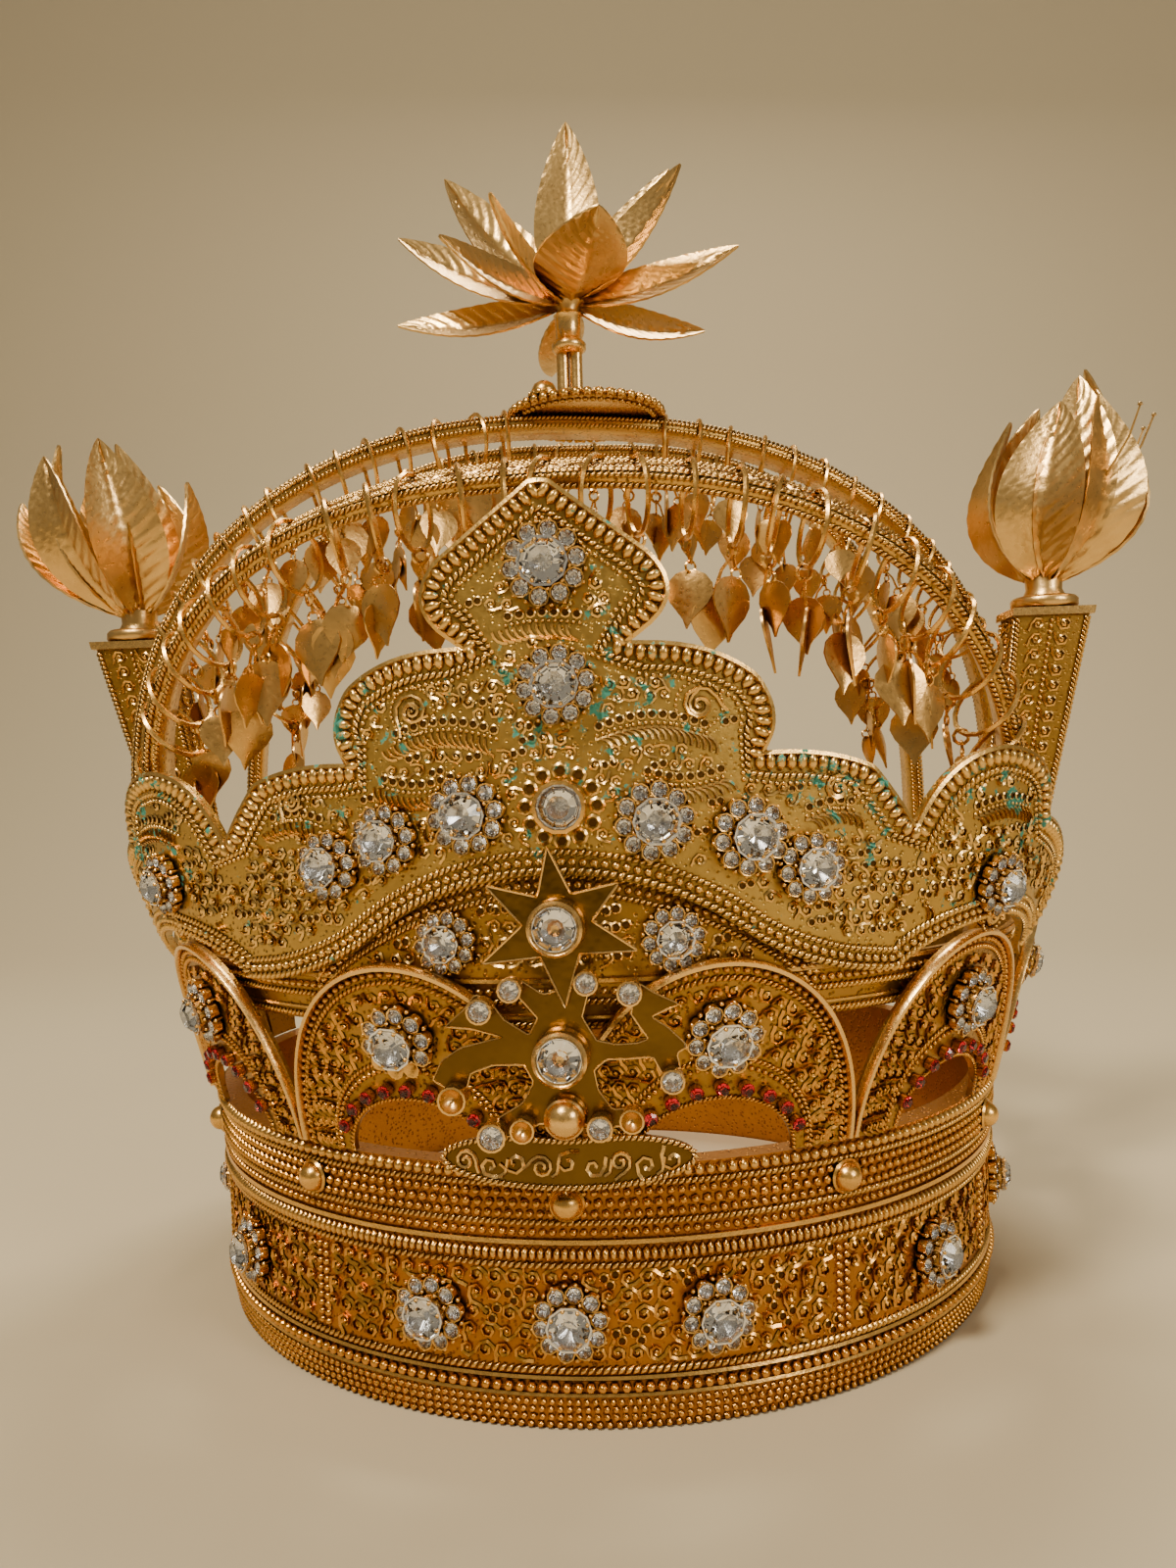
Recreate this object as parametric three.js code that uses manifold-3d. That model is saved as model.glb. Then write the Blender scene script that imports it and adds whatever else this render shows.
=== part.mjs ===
// A ceremonial crown of gilt filigree: headband, ring of lunettes, tall front plate,
// three arches hung with leaf drops, two side horns with buds and a lotus finial.
// Millimetres, +Z up, the front faces -Y, the origin is the middle of the underside.
import * as THREE from 'three';
import { mergeVertices } from 'three/addons/utils/BufferGeometryUtils.js';
import Module from 'manifold-3d';

const wasm = await Module();
wasm.setup();

// Clearance that separate pieces keep to each other
const GAP = 0.35;
// Length of the boxes that cut flat outlines into strips, more than any outline
const SLICE_LENGTH = 1000;
// Clearance of the arches' legs inside the gallery
const LEG_CLEARANCE = 0.5;
// How deep stones, studs and bezels sink into the piece that carries them
const SEAT_DEPTH = 1;

// Headband
const HEAD_RADIUS = 92.5;
const BAND_WALL = 2.8;
const BAND_HEIGHT = 50;
const BAND_SIDES = 44;
const FOOT_TUCK = 1;
const MOULDING_DEPTH = 1.9;
const MOULDING_HALF_HEIGHT = 2.8;
const LOWER_ROPE_HEIGHT = 8.5;
const MIDDLE_RIB_HEIGHT = 34;
const RIM_THICKNESS = 3.4;
const STUD_COUNT = 11;
const STUD_RADIUS = 2.9;
const STUD_STAND = 4;
const STUD_HEIGHT = 42.8;
const STUD_SIDES = 6;
const BAND_ROSETTE_HEIGHT = 21;

// Rosettes of clear stones
const ROSETTE_RADIUS = 6.7;
const ROSETTE_STAND = 4.2;
const ROSETTE_SIDES = 6;

// Lunettes that stand on the headband
const LUNETTE_HEIGHT = 38.5;
const LUNETTE_SPLAY = 0.26;
const LUNETTE_SHEET = 1.4;
const LUNETTE_FACETS = 6;
const FLANGE_WIDTH = 2;
const FLANGE_STAND = 1.6;
const WINDOW_HALF_ANGLE = 8.8;
const WINDOW_HEIGHT = 11.5;
const LUNETTE_ROSETTE_RISE = 24.5;

// Gallery strip behind the lunettes, and the arched panel that rises from it in front
const GALLERY_SHEET = 1.4;
const GALLERY_FOOT = 76;
const GALLERY_HEIGHT = 10;
const GALLERY_SIDES = 36;
const PANEL_STEP = 10;
const PANEL_HALF_ANGLE = 27;
const PANEL_RISE = 20;
const PANEL_ROSETTE_ANGLE = 11.5;
const PANEL_ROSETTE_HEIGHT = 92.9;
const PANEL_ROSETTE_RADIUS = 5.2;

// Tall front plate
const PLATE_SHEET = 1.5;
const PLATE_FOOT_HEIGHT = 82;
const PLATE_LEAN = 0.02;
const EAR_FLARE = 13;
const EAR_FLARE_HEIGHT = 20;
const EAR_FLARE_START = 20;
const EAR_FLARE_END = 60;
const PLATE_APEX_HEIGHT = 175;
const PLATE_STEP = 8;
const PLAIN_BEZEL_RADIUS = 4.4;
const PLAIN_BEZEL_STAND = 3.2;

// Star, sun and inscribed oval on the front
const STAR_RADIUS = 13.2;
const STAR_WAIST = 6.4;
const STAR_HEIGHT = 96.3;
const ORNAMENT_SHEET = 1.2;
const ORNAMENT_OFFSET = 0.8;
const STAR_STANDOFF = 0.5;
const BEZEL_RADIUS = 5;
const BEZEL_STAND = 5;
const STONE_STAND = 2.2;
const STONE_INSET = 1.1;
const SUN_HEIGHT = 73.9;
const SUN_RADIUS = 21.6;
const SUN_WAIST = 7.6;
const SUN_PLANE = 110.6;
const SUN_PEG_HEIGHT = 79;
const COLLAR_RADIUS = 2;
const COLLAR_STAND = 3.6;
const BOSS_RADIUS = 3.3;
const PEG_RADIUS = 2;
const OVAL_HALF_ANGLE = 13;
const OVAL_HEIGHT = 53;
const OVAL_HALF_HEIGHT = 5.3;
const OVAL_STANDOFF = 4.3;
const OVAL_PEG_ANGLE = 4;
const OVAL_PEG_HEIGHT = 48.8;
const OVAL_PEG_RADIUS = 1;

// Arches: strip sections, spans and turns about the crown's axis
const STRIP_THICKNESS = 3.3;
const FRONT_ARCH = {
  name: 'front_arch', width: 9, turn: 0, halfSpan: 91.5, setback: -55, lean: 27.7,
  springing: 105, rise: 82.4, roundness: 2.4, dropsPerSide: 4, firstDrop: 0.21, lastDrop: 0.45,
};
const MIDDLE_ARCH = {
  name: 'middle_arch', width: 11, turn: 15, halfSpan: 114.5, setback: 0, lean: 0,
  springing: 120, rise: 94.5, roundness: 2.3, dropsPerSide: 4, firstDrop: 0.17, lastDrop: 0.42,
};
const REAR_ARCH = {
  name: 'rear_arch', width: 9, turn: 8, halfSpan: 98.3, setback: 39.7, lean: 0,
  springing: 98, rise: 120, roundness: 2.8, dropsPerSide: 3, firstDrop: 0.17, lastDrop: 0.45,
};
const ARCH_STEPS = 20;
const LEG_FOOT_RISE = 3;
const LEG_PASS_RISE = 2;

// Leaf drops that hang from rings round the arches
const RING_RADIUS = 7.3;
const RING_WIRE = 1.1;
const HOOK_LENGTH = 4.5;
const LEAF_WIDTH = 11;
const LEAF_LENGTH = 14;
const LEAF_SHEET = 0.9;

// Hub, knob and lotus finial at the top
const HUB_RADIUS = 20.4;
const HUB_THICKNESS = 2.2;
const HUB_LOBES = 16;
const HUB_DOME = 3.4;
const KNOB_RADIUS = 4;
const KNOB_OFFSET = -9.5;
const KNOB_SETBACK = -13;
const STEM_RADIUS = 3.6;
const STEM_HEIGHT = 22;
const STEM_OFFSET = -4;
const COLLAR_RING_RADIUS = 4.6;
const LOTUS_HEIGHT = 55;
const PETAL_SHEET = 0.9;
const PETAL_BOW = 3;
const PETAL_START = 1.6;
const CALYX_RADIUS = 4.4;
const CALYX_DROP = 2.6;

// Side horns and their buds
const HORN_FOOT_HEIGHT = 92;
const HORN_TOP_HEIGHT = 160;
const HORN_ANGLE = 90;
const HORN_TURN = 2;
const HORN_FOOT_RADIUS = 106.5;
const LEFT_HORN_REACH = 123;
const RIGHT_HORN_REACH = 118;
const HORN_TOP_WIDTH = 13;
const HORN_TOP_DEPTH = 18.5;
const HORN_FOOT_WIDTH = 8;
const HORN_FOOT_DEPTH = 11;
const HORN_CAP = 1.6;
const HORN_TANG_SHEET = 1.6;
const BUD_HEIGHT = 57;
const BUD_COLLAR_RADIUS = 8.4;
const BUD_COLLAR_HEIGHT = 3;
const BUD_NECK_RADIUS = 4.8;
const BUD_NECK_HEIGHT = 6;

const gold = new THREE.MeshStandardMaterial({ color: 0xc8923a, roughness: 0.35, metalness: 1 });
const darkGold = new THREE.MeshStandardMaterial({ color: 0x8a6a2a, roughness: 0.3, metalness: 1 });
const paleGold = new THREE.MeshStandardMaterial({ color: 0xd9b065, roughness: 0.28, metalness: 1 });
const clearStone = new THREE.MeshStandardMaterial({ color: 0xe8ecf0, roughness: 0.05, metalness: 0 });

const crown = new THREE.Group();

// Solids and meshes

function toSolid(geometry) {
  const bare = geometry.index ? geometry.toNonIndexed() : geometry.clone();
  bare.deleteAttribute('normal');
  bare.deleteAttribute('uv');
  const merged = mergeVertices(bare, 1e-4);
  return new wasm.Manifold(new wasm.Mesh({
    numProp: 3,
    vertProperties: new Float32Array(merged.attributes.position.array),
    triVerts: new Uint32Array(merged.index.array),
  }));
}

function toGeometry(solid) {
  const mesh = solid.getMesh();
  const geometry = new THREE.BufferGeometry();
  geometry.setAttribute('position', new THREE.BufferAttribute(mesh.vertProperties, 3));
  geometry.setIndex(new THREE.BufferAttribute(mesh.triVerts, 1));
  return geometry;
}

function addPiece(name, solid, material) {
  const mesh = new THREE.Mesh(toGeometry(solid), material);
  mesh.name = name;
  crown.add(mesh);
}

function joined(solids) {
  return solids.reduce((whole, solid) => whole.add(solid));
}

// Points and frames on the crown

function aroundCrown(azimuth, radius, height) {
  const angle = THREE.MathUtils.degToRad(azimuth);
  return new THREE.Vector3(radius * Math.sin(angle), -radius * Math.cos(angle), height);
}

// A frame at a point on the crown whose +Z looks outward, tipped up or down by the wall's slope
function outwardFrame(azimuth, radius, height, slope) {
  const outward = aroundCrown(azimuth, 1, -slope).normalize();
  const across = new THREE.Vector3().crossVectors(new THREE.Vector3(0, 0, 1), outward).normalize();
  const up = new THREE.Vector3().crossVectors(outward, across);
  return new THREE.Matrix4()
    .makeBasis(across, up, outward)
    .setPosition(aroundCrown(azimuth, radius, height));
}

// A sheet cut to a flat outline (azimuth in degrees, height in mm) and bent round the crown.
// The outline is cut into upright strips so that each strip follows the bend.
function bentSheet(shape, innerRadius, outerRadius, step) {
  const flat = toSolid(new THREE.ExtrudeGeometry(shape, { depth: 1, bevelEnabled: false }));
  const xs = shape.getPoints().map((point) => point.x);
  const first = Math.floor(Math.min(...xs) / step);
  const last = Math.ceil(Math.max(...xs) / step);
  const strips = [];
  for (let k = first; k < last; k += 1) {
    const slice = new THREE.BoxGeometry(step, SLICE_LENGTH, 3).translate((k + 0.5) * step, 0, 0);
    const strip = flat.intersect(toSolid(slice));
    if (!strip.isEmpty()) {
      strips.push(toSolid(bend(toGeometry(strip), innerRadius, outerRadius)));
    }
  }
  return joined(strips);
}

function bend(geometry, innerRadius, outerRadius) {
  const position = geometry.attributes.position;
  for (let i = 0; i < position.count; i += 1) {
    const azimuth = Math.round(position.getX(i) * 1e4) / 1e4;
    const height = Math.round(position.getY(i) * 1e4) / 1e4;
    const inner = innerRadius(azimuth, height);
    const outer = outerRadius(azimuth, height);
    const depth = Math.round(position.getZ(i));
    const point = aroundCrown(azimuth, inner + (outer - inner) * depth, height);
    position.setXYZ(i, point.x, point.y, point.z);
  }
  return geometry;
}

// Stones and studs

function turned(profile, sides) {
  const points = profile.map(([radius, height]) => new THREE.Vector2(radius, height));
  return new THREE.LatheGeometry(points, sides).rotateX(Math.PI / 2);
}

function rosette(frame, radius = ROSETTE_RADIUS) {
  const profile = [
    [0, -SEAT_DEPTH],
    [radius, -SEAT_DEPTH],
    [radius * 0.84, ROSETTE_STAND * 0.55],
    [0, ROSETTE_STAND],
  ];
  return toSolid(turned(profile, ROSETTE_SIDES).applyMatrix4(frame));
}

function stud(frame) {
  const profile = [
    [0, -SEAT_DEPTH],
    [STUD_RADIUS, -SEAT_DEPTH],
    [STUD_RADIUS * 0.8, STUD_STAND * 0.7],
    [0, STUD_STAND],
  ];
  return toSolid(turned(profile, STUD_SIDES).applyMatrix4(frame));
}

// Headband with its mouldings, studs and rosettes

const bandOuter = HEAD_RADIUS + BAND_WALL;
const ridgeRadius = bandOuter + MOULDING_DEPTH;
const rimRadius = ridgeRadius + 0.8;
const lunettePitch = 360 / STUD_COUNT;

function makeHeadband() {
  const profile = [
    [HEAD_RADIUS, 0],
    [bandOuter - FOOT_TUCK, 0],
    [ridgeRadius - 0.5, LOWER_ROPE_HEIGHT],
    [bandOuter, LOWER_ROPE_HEIGHT + MOULDING_HALF_HEIGHT],
    [bandOuter, MIDDLE_RIB_HEIGHT - MOULDING_HALF_HEIGHT],
    [ridgeRadius, MIDDLE_RIB_HEIGHT],
    [bandOuter + 1.1, MIDDLE_RIB_HEIGHT + MOULDING_HALF_HEIGHT],
    [rimRadius, BAND_HEIGHT - RIM_THICKNESS],
    [rimRadius, BAND_HEIGHT],
    [HEAD_RADIUS, BAND_HEIGHT],
  ];
  profile.push(profile[0]);
  let band = toSolid(turned(profile, BAND_SIDES));
  for (let k = 0; k < STUD_COUNT; k += 1) {
    const azimuth = k * lunettePitch;
    band = band.add(stud(outwardFrame(azimuth, bandOuter + 0.9, STUD_HEIGHT, 0)));
    const middle = azimuth + lunettePitch / 2;
    band = band.add(rosette(outwardFrame(middle, bandOuter - 0.1, BAND_ROSETTE_HEIGHT, 0)));
  }
  return band.add(rosette(outwardFrame(0, bandOuter - 0.1, BAND_ROSETTE_HEIGHT, 0)));
}

addPiece('headband', makeHeadband(), gold);

// Lunettes: arched sheets with an out-turned flange and a crescent window over the band

const lunetteBase = BAND_HEIGHT + GAP;
const lunetteHalfAngle = lunettePitch / 2 - THREE.MathUtils.radToDeg(GAP / bandOuter);

function lunetteFace(height) {
  return rimRadius + LUNETTE_SPLAY * (height - BAND_HEIGHT);
}

// Upper half of an ellipse as points from its left end to its right end
function halfEllipse(halfWidth, height, steps) {
  const points = [];
  for (let i = 0; i <= steps; i += 1) {
    const angle = Math.PI * (1 - i / steps);
    points.push(new THREE.Vector2(halfWidth * Math.cos(angle), lunetteBase + height * Math.sin(angle)));
  }
  return points;
}

function archBand(outer, inner) {
  return new THREE.Shape([...outer, ...inner.reverse()]);
}

function makeLunette() {
  const degreesPerMm = THREE.MathUtils.radToDeg(1 / rimRadius);
  const edge = halfEllipse(lunetteHalfAngle, LUNETTE_HEIGHT, LUNETTE_FACETS);
  const flangeAngle = lunetteHalfAngle - FLANGE_WIDTH * degreesPerMm;
  const flangeInside = halfEllipse(flangeAngle, LUNETTE_HEIGHT - FLANGE_WIDTH, LUNETTE_FACETS);
  const window = halfEllipse(WINDOW_HALF_ANGLE, WINDOW_HEIGHT, LUNETTE_FACETS / 2);
  const inner = (azimuth, height) => lunetteFace(height) - LUNETTE_SHEET;
  const outer = (azimuth, height) => lunetteFace(height);
  const flangeOuter = (azimuth, height) => lunetteFace(height) + FLANGE_STAND;
  const step = lunettePitch / 3;
  const field = bentSheet(archBand(edge, window), inner, outer, step);
  const flange = bentSheet(archBand(edge, flangeInside), inner, flangeOuter, step);
  const rosetteHeight = BAND_HEIGHT + LUNETTE_ROSETTE_RISE;
  const seat = outwardFrame(0, lunetteFace(rosetteHeight) - 0.3, rosetteHeight, LUNETTE_SPLAY);
  return field.add(flange).add(rosette(seat));
}

const lunette = makeLunette();
for (let k = 0; k < STUD_COUNT; k += 1) {
  const number = String(k + 1).padStart(2, '0');
  addPiece(`lunette_${number}`, lunette.rotate([0, 0, (k + 0.5) * lunettePitch]), gold);
}

// Gallery strip with the arched panel

function galleryFace(height) {
  return lunetteFace(Math.min(height, GALLERY_FOOT + GALLERY_HEIGHT)) - LUNETTE_SHEET - GAP - 1.5;
}

const galleryTop = GALLERY_FOOT + GALLERY_HEIGHT;

// The radius that is clear inside the gallery at a height, taken at the middle of its facets
function galleryInside(height) {
  return (galleryFace(height) - GALLERY_SHEET) * Math.cos(Math.PI / GALLERY_SIDES);
}

function makeGallery() {
  const profile = [
    [galleryFace(GALLERY_FOOT) - GALLERY_SHEET, GALLERY_FOOT],
    [galleryFace(GALLERY_FOOT), GALLERY_FOOT],
    [galleryFace(galleryTop), galleryTop],
    [galleryFace(galleryTop) - GALLERY_SHEET, galleryTop],
  ];
  profile.push(profile[0]);
  const strip = toSolid(turned(profile, GALLERY_SIDES));
  const outline = [];
  const steps = 8;
  for (let i = 0; i <= steps; i += 1) {
    const share = 1 - (2 * i) / steps;
    const rise = PANEL_RISE * Math.cos(share * Math.PI * 0.5) ** 0.8;
    outline.push(new THREE.Vector2(-PANEL_HALF_ANGLE * share, galleryTop - 1 + rise));
  }
  outline.push(new THREE.Vector2(PANEL_HALF_ANGLE, GALLERY_FOOT + 1));
  outline.push(new THREE.Vector2(-PANEL_HALF_ANGLE, GALLERY_FOOT + 1));
  const inner = (azimuth, height) => galleryFace(height) - GALLERY_SHEET;
  const outer = (azimuth, height) => galleryFace(height);
  const panel = bentSheet(new THREE.Shape(outline), inner, outer, PANEL_STEP);
  const stones = [-PANEL_ROSETTE_ANGLE, PANEL_ROSETTE_ANGLE].map((azimuth) => {
    const seat = outwardFrame(azimuth, galleryFace(PANEL_ROSETTE_HEIGHT), PANEL_ROSETTE_HEIGHT, 0);
    return rosette(seat, PANEL_ROSETTE_RADIUS);
  });
  return joined([strip, panel, ...stones]);
}

addPiece('gallery', makeGallery(), gold);

// Tall front plate: one half of its outline, from the apex round the ear to the middle below

const plateRise = PLATE_APEX_HEIGHT - PLATE_FOOT_HEIGHT;
const plateFoot = galleryFace(galleryTop) + GAP;

// A height on the plate from its share of the rise between the plate's foot and its apex
function plateHeight(share) {
  return PLATE_FOOT_HEIGHT + plateRise * share;
}

function earShare(azimuth) {
  return THREE.MathUtils.smoothstep(Math.abs(azimuth), EAR_FLARE_START, EAR_FLARE_END);
}

function plateInside(azimuth, height) {
  const rise = Math.max(0, height - PLATE_FOOT_HEIGHT);
  const flare = EAR_FLARE * (1 - Math.exp(-rise / EAR_FLARE_HEIGHT));
  return plateFoot + PLATE_LEAN * rise + earShare(azimuth) * flare;
}

// Each lobe runs from the last point to [azimuth, height], pulled out towards a control point
const plateLobes = [
  { to: [10.2, 160.5], pull: [4, 169] },
  { to: [7.6, 144.8], pull: [14.6, 152] },
  { to: [20.4, 138.8], pull: [15.5, 145.8] },
  { to: [20.7, 125], pull: [23.6, 131] },
  { to: [32.4, 122], pull: [27.4, 126] },
  { to: [37, 110.3], pull: [35.2, 116] },
  { to: [48, 125.3], pull: [40.4, 124.6] },
  { to: [57, 111], pull: [57.4, 124] },
  { to: [66.6, 87.5], pull: [71.5, 104] },
  { to: [65.6, 79.5], pull: [65, 83] },
  { to: [50, 91.6], pull: [58, 92] },
  { to: [36, 83.6], pull: [40, 90] },
  { to: [20, 91.4], pull: [27, 84] },
  { to: [0, 104.4], pull: [11, 104.4] },
];

function platePath() {
  const half = new THREE.Path();
  half.moveTo(0, PLATE_APEX_HEIGHT);
  plateLobes.forEach(({ to, pull }) => half.quadraticCurveTo(...pull, ...to));
  return half.getPoints(3);
}

function plateShape() {
  const right = platePath();
  const left = right.slice(1, -1).reverse().map((point) => new THREE.Vector2(-point.x, point.y));
  return new THREE.Shape([...right, ...left]);
}

const plateRosettes = [
  [0, 0.823], [0, 0.597], [9, 0.349], [-9, 0.349], [18, 0.308], [-18, 0.308],
  [24.4, 0.243], [-24.4, 0.243], [50, 0.204], [-50, 0.204],
];
const plateBezel = [0.8, 0.372];

function plateFrame([azimuth, share]) {
  const height = plateHeight(share);
  const radius = plateInside(azimuth, height) + PLATE_SHEET - 0.2;
  const slope = plateInside(azimuth, height + 1) - plateInside(azimuth, height);
  return outwardFrame(azimuth, radius, height, slope);
}

function makePlate() {
  const outside = (azimuth, height) => plateInside(azimuth, height) + PLATE_SHEET;
  const sheet = bentSheet(plateShape(), plateInside, outside, PLATE_STEP);
  const stones = plateRosettes.map((spot) => rosette(plateFrame(spot)));
  const profile = [
    [0, -SEAT_DEPTH],
    [PLAIN_BEZEL_RADIUS, -SEAT_DEPTH],
    [PLAIN_BEZEL_RADIUS, PLAIN_BEZEL_STAND],
    [0, PLAIN_BEZEL_STAND],
  ];
  const bezelSolid = toSolid(turned(profile, 10).applyMatrix4(plateFrame(plateBezel)));
  return joined([sheet, ...stones, bezelSolid]);
}

addPiece('front_plate', makePlate(), gold);

// Ornaments that stand in front: flat sheets facing -Y with bezels, collars and pegs

function facingFront(geometry, x, plane, height) {
  return geometry.rotateX(Math.PI / 2).translate(x, -plane, height);
}

function sheetFacingFront(points, x, plane, height) {
  const shape = new THREE.Shape(points);
  const sheet = new THREE.ExtrudeGeometry(shape, { depth: ORNAMENT_SHEET, bevelEnabled: false });
  return toSolid(facingFront(sheet, x, plane, height));
}

// A round post along -Y that runs from one distance to another in front of the axis
function post(radius, sides, x, from, to, height) {
  const rod = new THREE.CylinderGeometry(radius, radius, to - from, sides);
  return toSolid(rod.translate(x, -(from + to) / 2, height));
}

function polar(degrees, length) {
  const angle = THREE.MathUtils.degToRad(degrees);
  return new THREE.Vector2(length * Math.cos(angle), length * Math.sin(angle));
}

const ornamentFront = SUN_PLANE + ORNAMENT_SHEET;
const starPlane = ornamentFront + STAR_STANDOFF;

function bezelAndStone(name, x, plane, height) {
  const seat = plane - 0.4;
  const cup = post(BEZEL_RADIUS, 12, x, seat, plane + BEZEL_STAND, height);
  const hollowRadius = BEZEL_RADIUS - STONE_INSET;
  const hollowFloor = plane + BEZEL_STAND - STONE_STAND;
  const hollow = post(hollowRadius, 12, x, hollowFloor, plane + BEZEL_STAND + 1, height);
  const stoneBase = hollowFloor + GAP;
  const stoneRadius = hollowRadius - GAP;
  const cut = [[0, 0], [stoneRadius, 0], [stoneRadius, 1.2], [stoneRadius * 0.55, 2.6], [0, 2.6]];
  addPiece(name, facingStone(cut, x, stoneBase, height), clearStone);
  return cup.subtract(hollow);
}

function facingStone(profile, x, base, height) {
  const gem = turned(profile, 12);
  return toSolid(gem.rotateX(Math.PI / 2).translate(x, -base, height));
}

function makeStar() {
  const points = [];
  for (let i = 0; i < 12; i += 1) {
    points.push(polar(90 + 30 * i, i % 2 === 0 ? STAR_RADIUS : STAR_WAIST));
  }
  const sheet = sheetFacingFront(points, ORNAMENT_OFFSET, starPlane, STAR_HEIGHT);
  const peg = post(PEG_RADIUS, 8, ORNAMENT_OFFSET, plateFoot, starPlane + 0.4, STAR_HEIGHT);
  const front = starPlane + ORNAMENT_SHEET;
  return joined([sheet, peg, bezelAndStone('star_stone', ORNAMENT_OFFSET, front, STAR_HEIGHT)]);
}

// Rays of the sun and its collared stones on the right side, as [direction, share of its radius]
const sunRays = [[68, 0.62], [47, 1], [20, 0.954], [1, 1], [-19, 0.861], [-41, 0.694], [-62, 0.574]];
const sunStones = [[68, 0.657], [40, 0.755], [-19, 0.894], [-41, 0.759], [-61, 0.63]];
const sunBoss = [-90, 0.481];

function makeSun() {
  const right = [];
  sunRays.forEach(([direction, share], i) => {
    const before = i === 0 ? 90 : (sunRays[i - 1][0] + direction) / 2;
    right.push(polar(before, SUN_WAIST), polar(direction, share * SUN_RADIUS));
  });
  const left = right.slice(1).reverse().map((point) => new THREE.Vector2(-point.x, point.y));
  const outline = [...right, polar(sunBoss[0], SUN_WAIST), ...left].reverse();
  const sheet = sheetFacingFront(outline, ORNAMENT_OFFSET, SUN_PLANE, SUN_HEIGHT);
  const collars = [];
  sunStones.forEach(([direction, share]) => {
    [direction, 180 - direction].forEach((way) => {
      const spot = polar(way, share * SUN_RADIUS);
      const x = ORNAMENT_OFFSET + spot.x;
      const z = SUN_HEIGHT + spot.y;
      collars.push(post(COLLAR_RADIUS, 6, x, ornamentFront - 0.4, ornamentFront + COLLAR_STAND, z));
    });
  });
  const bossHeight = SUN_HEIGHT + polar(sunBoss[0], sunBoss[1] * SUN_RADIUS).y;
  const boss = [[0, -2], [BOSS_RADIUS, -2], [BOSS_RADIUS, 1.4], [BOSS_RADIUS * 0.6, 3.2], [0, 3.8]];
  collars.push(facingStone(boss, ORNAMENT_OFFSET, ornamentFront, bossHeight));
  const pegStart = galleryFace(SUN_PEG_HEIGHT + PEG_RADIUS) + GAP;
  const peg = post(PEG_RADIUS, 8, ORNAMENT_OFFSET, pegStart, SUN_PLANE + 0.4, SUN_PEG_HEIGHT);
  const bezel = bezelAndStone('sun_stone', ORNAMENT_OFFSET, ornamentFront, SUN_HEIGHT);
  return joined([sheet, peg, ...collars, bezel]);
}

addPiece('star', makeStar(), darkGold);
addPiece('sun', makeSun(), darkGold);

// Oval plaque on the headband's rim

function makeOval() {
  const points = [];
  const steps = 14;
  for (let i = 0; i < steps; i += 1) {
    const angle = (2 * Math.PI * i) / steps;
    const waist = Math.cos(angle) ** 2 < 0.3 && Math.sin(angle) > 0 ? 0.8 : 1;
    points.push(new THREE.Vector2(
      OVAL_HALF_ANGLE * Math.cos(angle),
      OVAL_HEIGHT + OVAL_HALF_HEIGHT * waist * Math.sin(angle),
    ));
  }
  const inner = () => rimRadius + OVAL_STANDOFF;
  const outer = () => rimRadius + OVAL_STANDOFF + ORNAMENT_SHEET;
  const sheet = bentSheet(new THREE.Shape(points), inner, outer, lunettePitch / 5);
  const pegs = [-OVAL_PEG_ANGLE, OVAL_PEG_ANGLE].map((azimuth) => {
    const length = OVAL_STANDOFF - GAP + 0.4;
    const frame = outwardFrame(azimuth, rimRadius + GAP, OVAL_PEG_HEIGHT, 0);
    const profile = [[0, 0], [OVAL_PEG_RADIUS, 0], [OVAL_PEG_RADIUS, length], [0, length]];
    return toSolid(turned(profile, 6).applyMatrix4(frame));
  });
  return joined([sheet, ...pegs]);
}

addPiece('inscribed_oval', makeOval(), darkGold);

// Arches: a strip bent to a rounded arch in its own plane, with its legs and leaf drops

// Where a leg's centre line stands at a height, so that the whole strip just clears the gallery's inside
function legPoint(arch, height) {
  const plane = archPlane({ ...arch, turn: 0 });
  const up = (height - arch.springing) / Math.cos(THREE.MathUtils.degToRad(arch.lean));
  const reaches = [-0.5, 0.5].map((side) => {
    const edge = new THREE.Vector3(0, up, side * arch.width).applyMatrix4(plane);
    const clear = galleryInside(edge.z) - LEG_CLEARANCE;
    return Math.sqrt(clear ** 2 - edge.y ** 2) - STRIP_THICKNESS / 2;
  });
  return [Math.min(...reaches), up];
}

// Half of the strip's centre line in its own plane, from a foot behind the gallery up to the middle
function archLine(arch, steps) {
  const points = [
    legPoint(arch, GALLERY_FOOT + LEG_FOOT_RISE),
    legPoint(arch, galleryTop + LEG_PASS_RISE),
  ];
  for (let i = 0; i <= steps; i += 1) {
    const angle = (Math.PI / 2) * (i / steps);
    const across = arch.halfSpan * Math.cos(angle) ** (2 / arch.roundness);
    const up = arch.rise * Math.sin(angle) ** (2 / arch.roundness);
    points.push([across, up]);
  }
  return points.map(([x, y]) => new THREE.Vector2(x, y));
}

function offsetLine(line, distance) {
  return line.map((point, i) => {
    const before = line[Math.max(0, i - 1)];
    const after = line[Math.min(line.length - 1, i + 1)];
    const along = new THREE.Vector2().subVectors(after, before).normalize();
    if (i === line.length - 1) {
      along.set(-1, 0);
    }
    return new THREE.Vector2(point.x + along.y * distance, point.y - along.x * distance);
  });
}

function mirrored(line) {
  return line.slice(0, -1).reverse().map((point) => new THREE.Vector2(-point.x, point.y));
}

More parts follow.
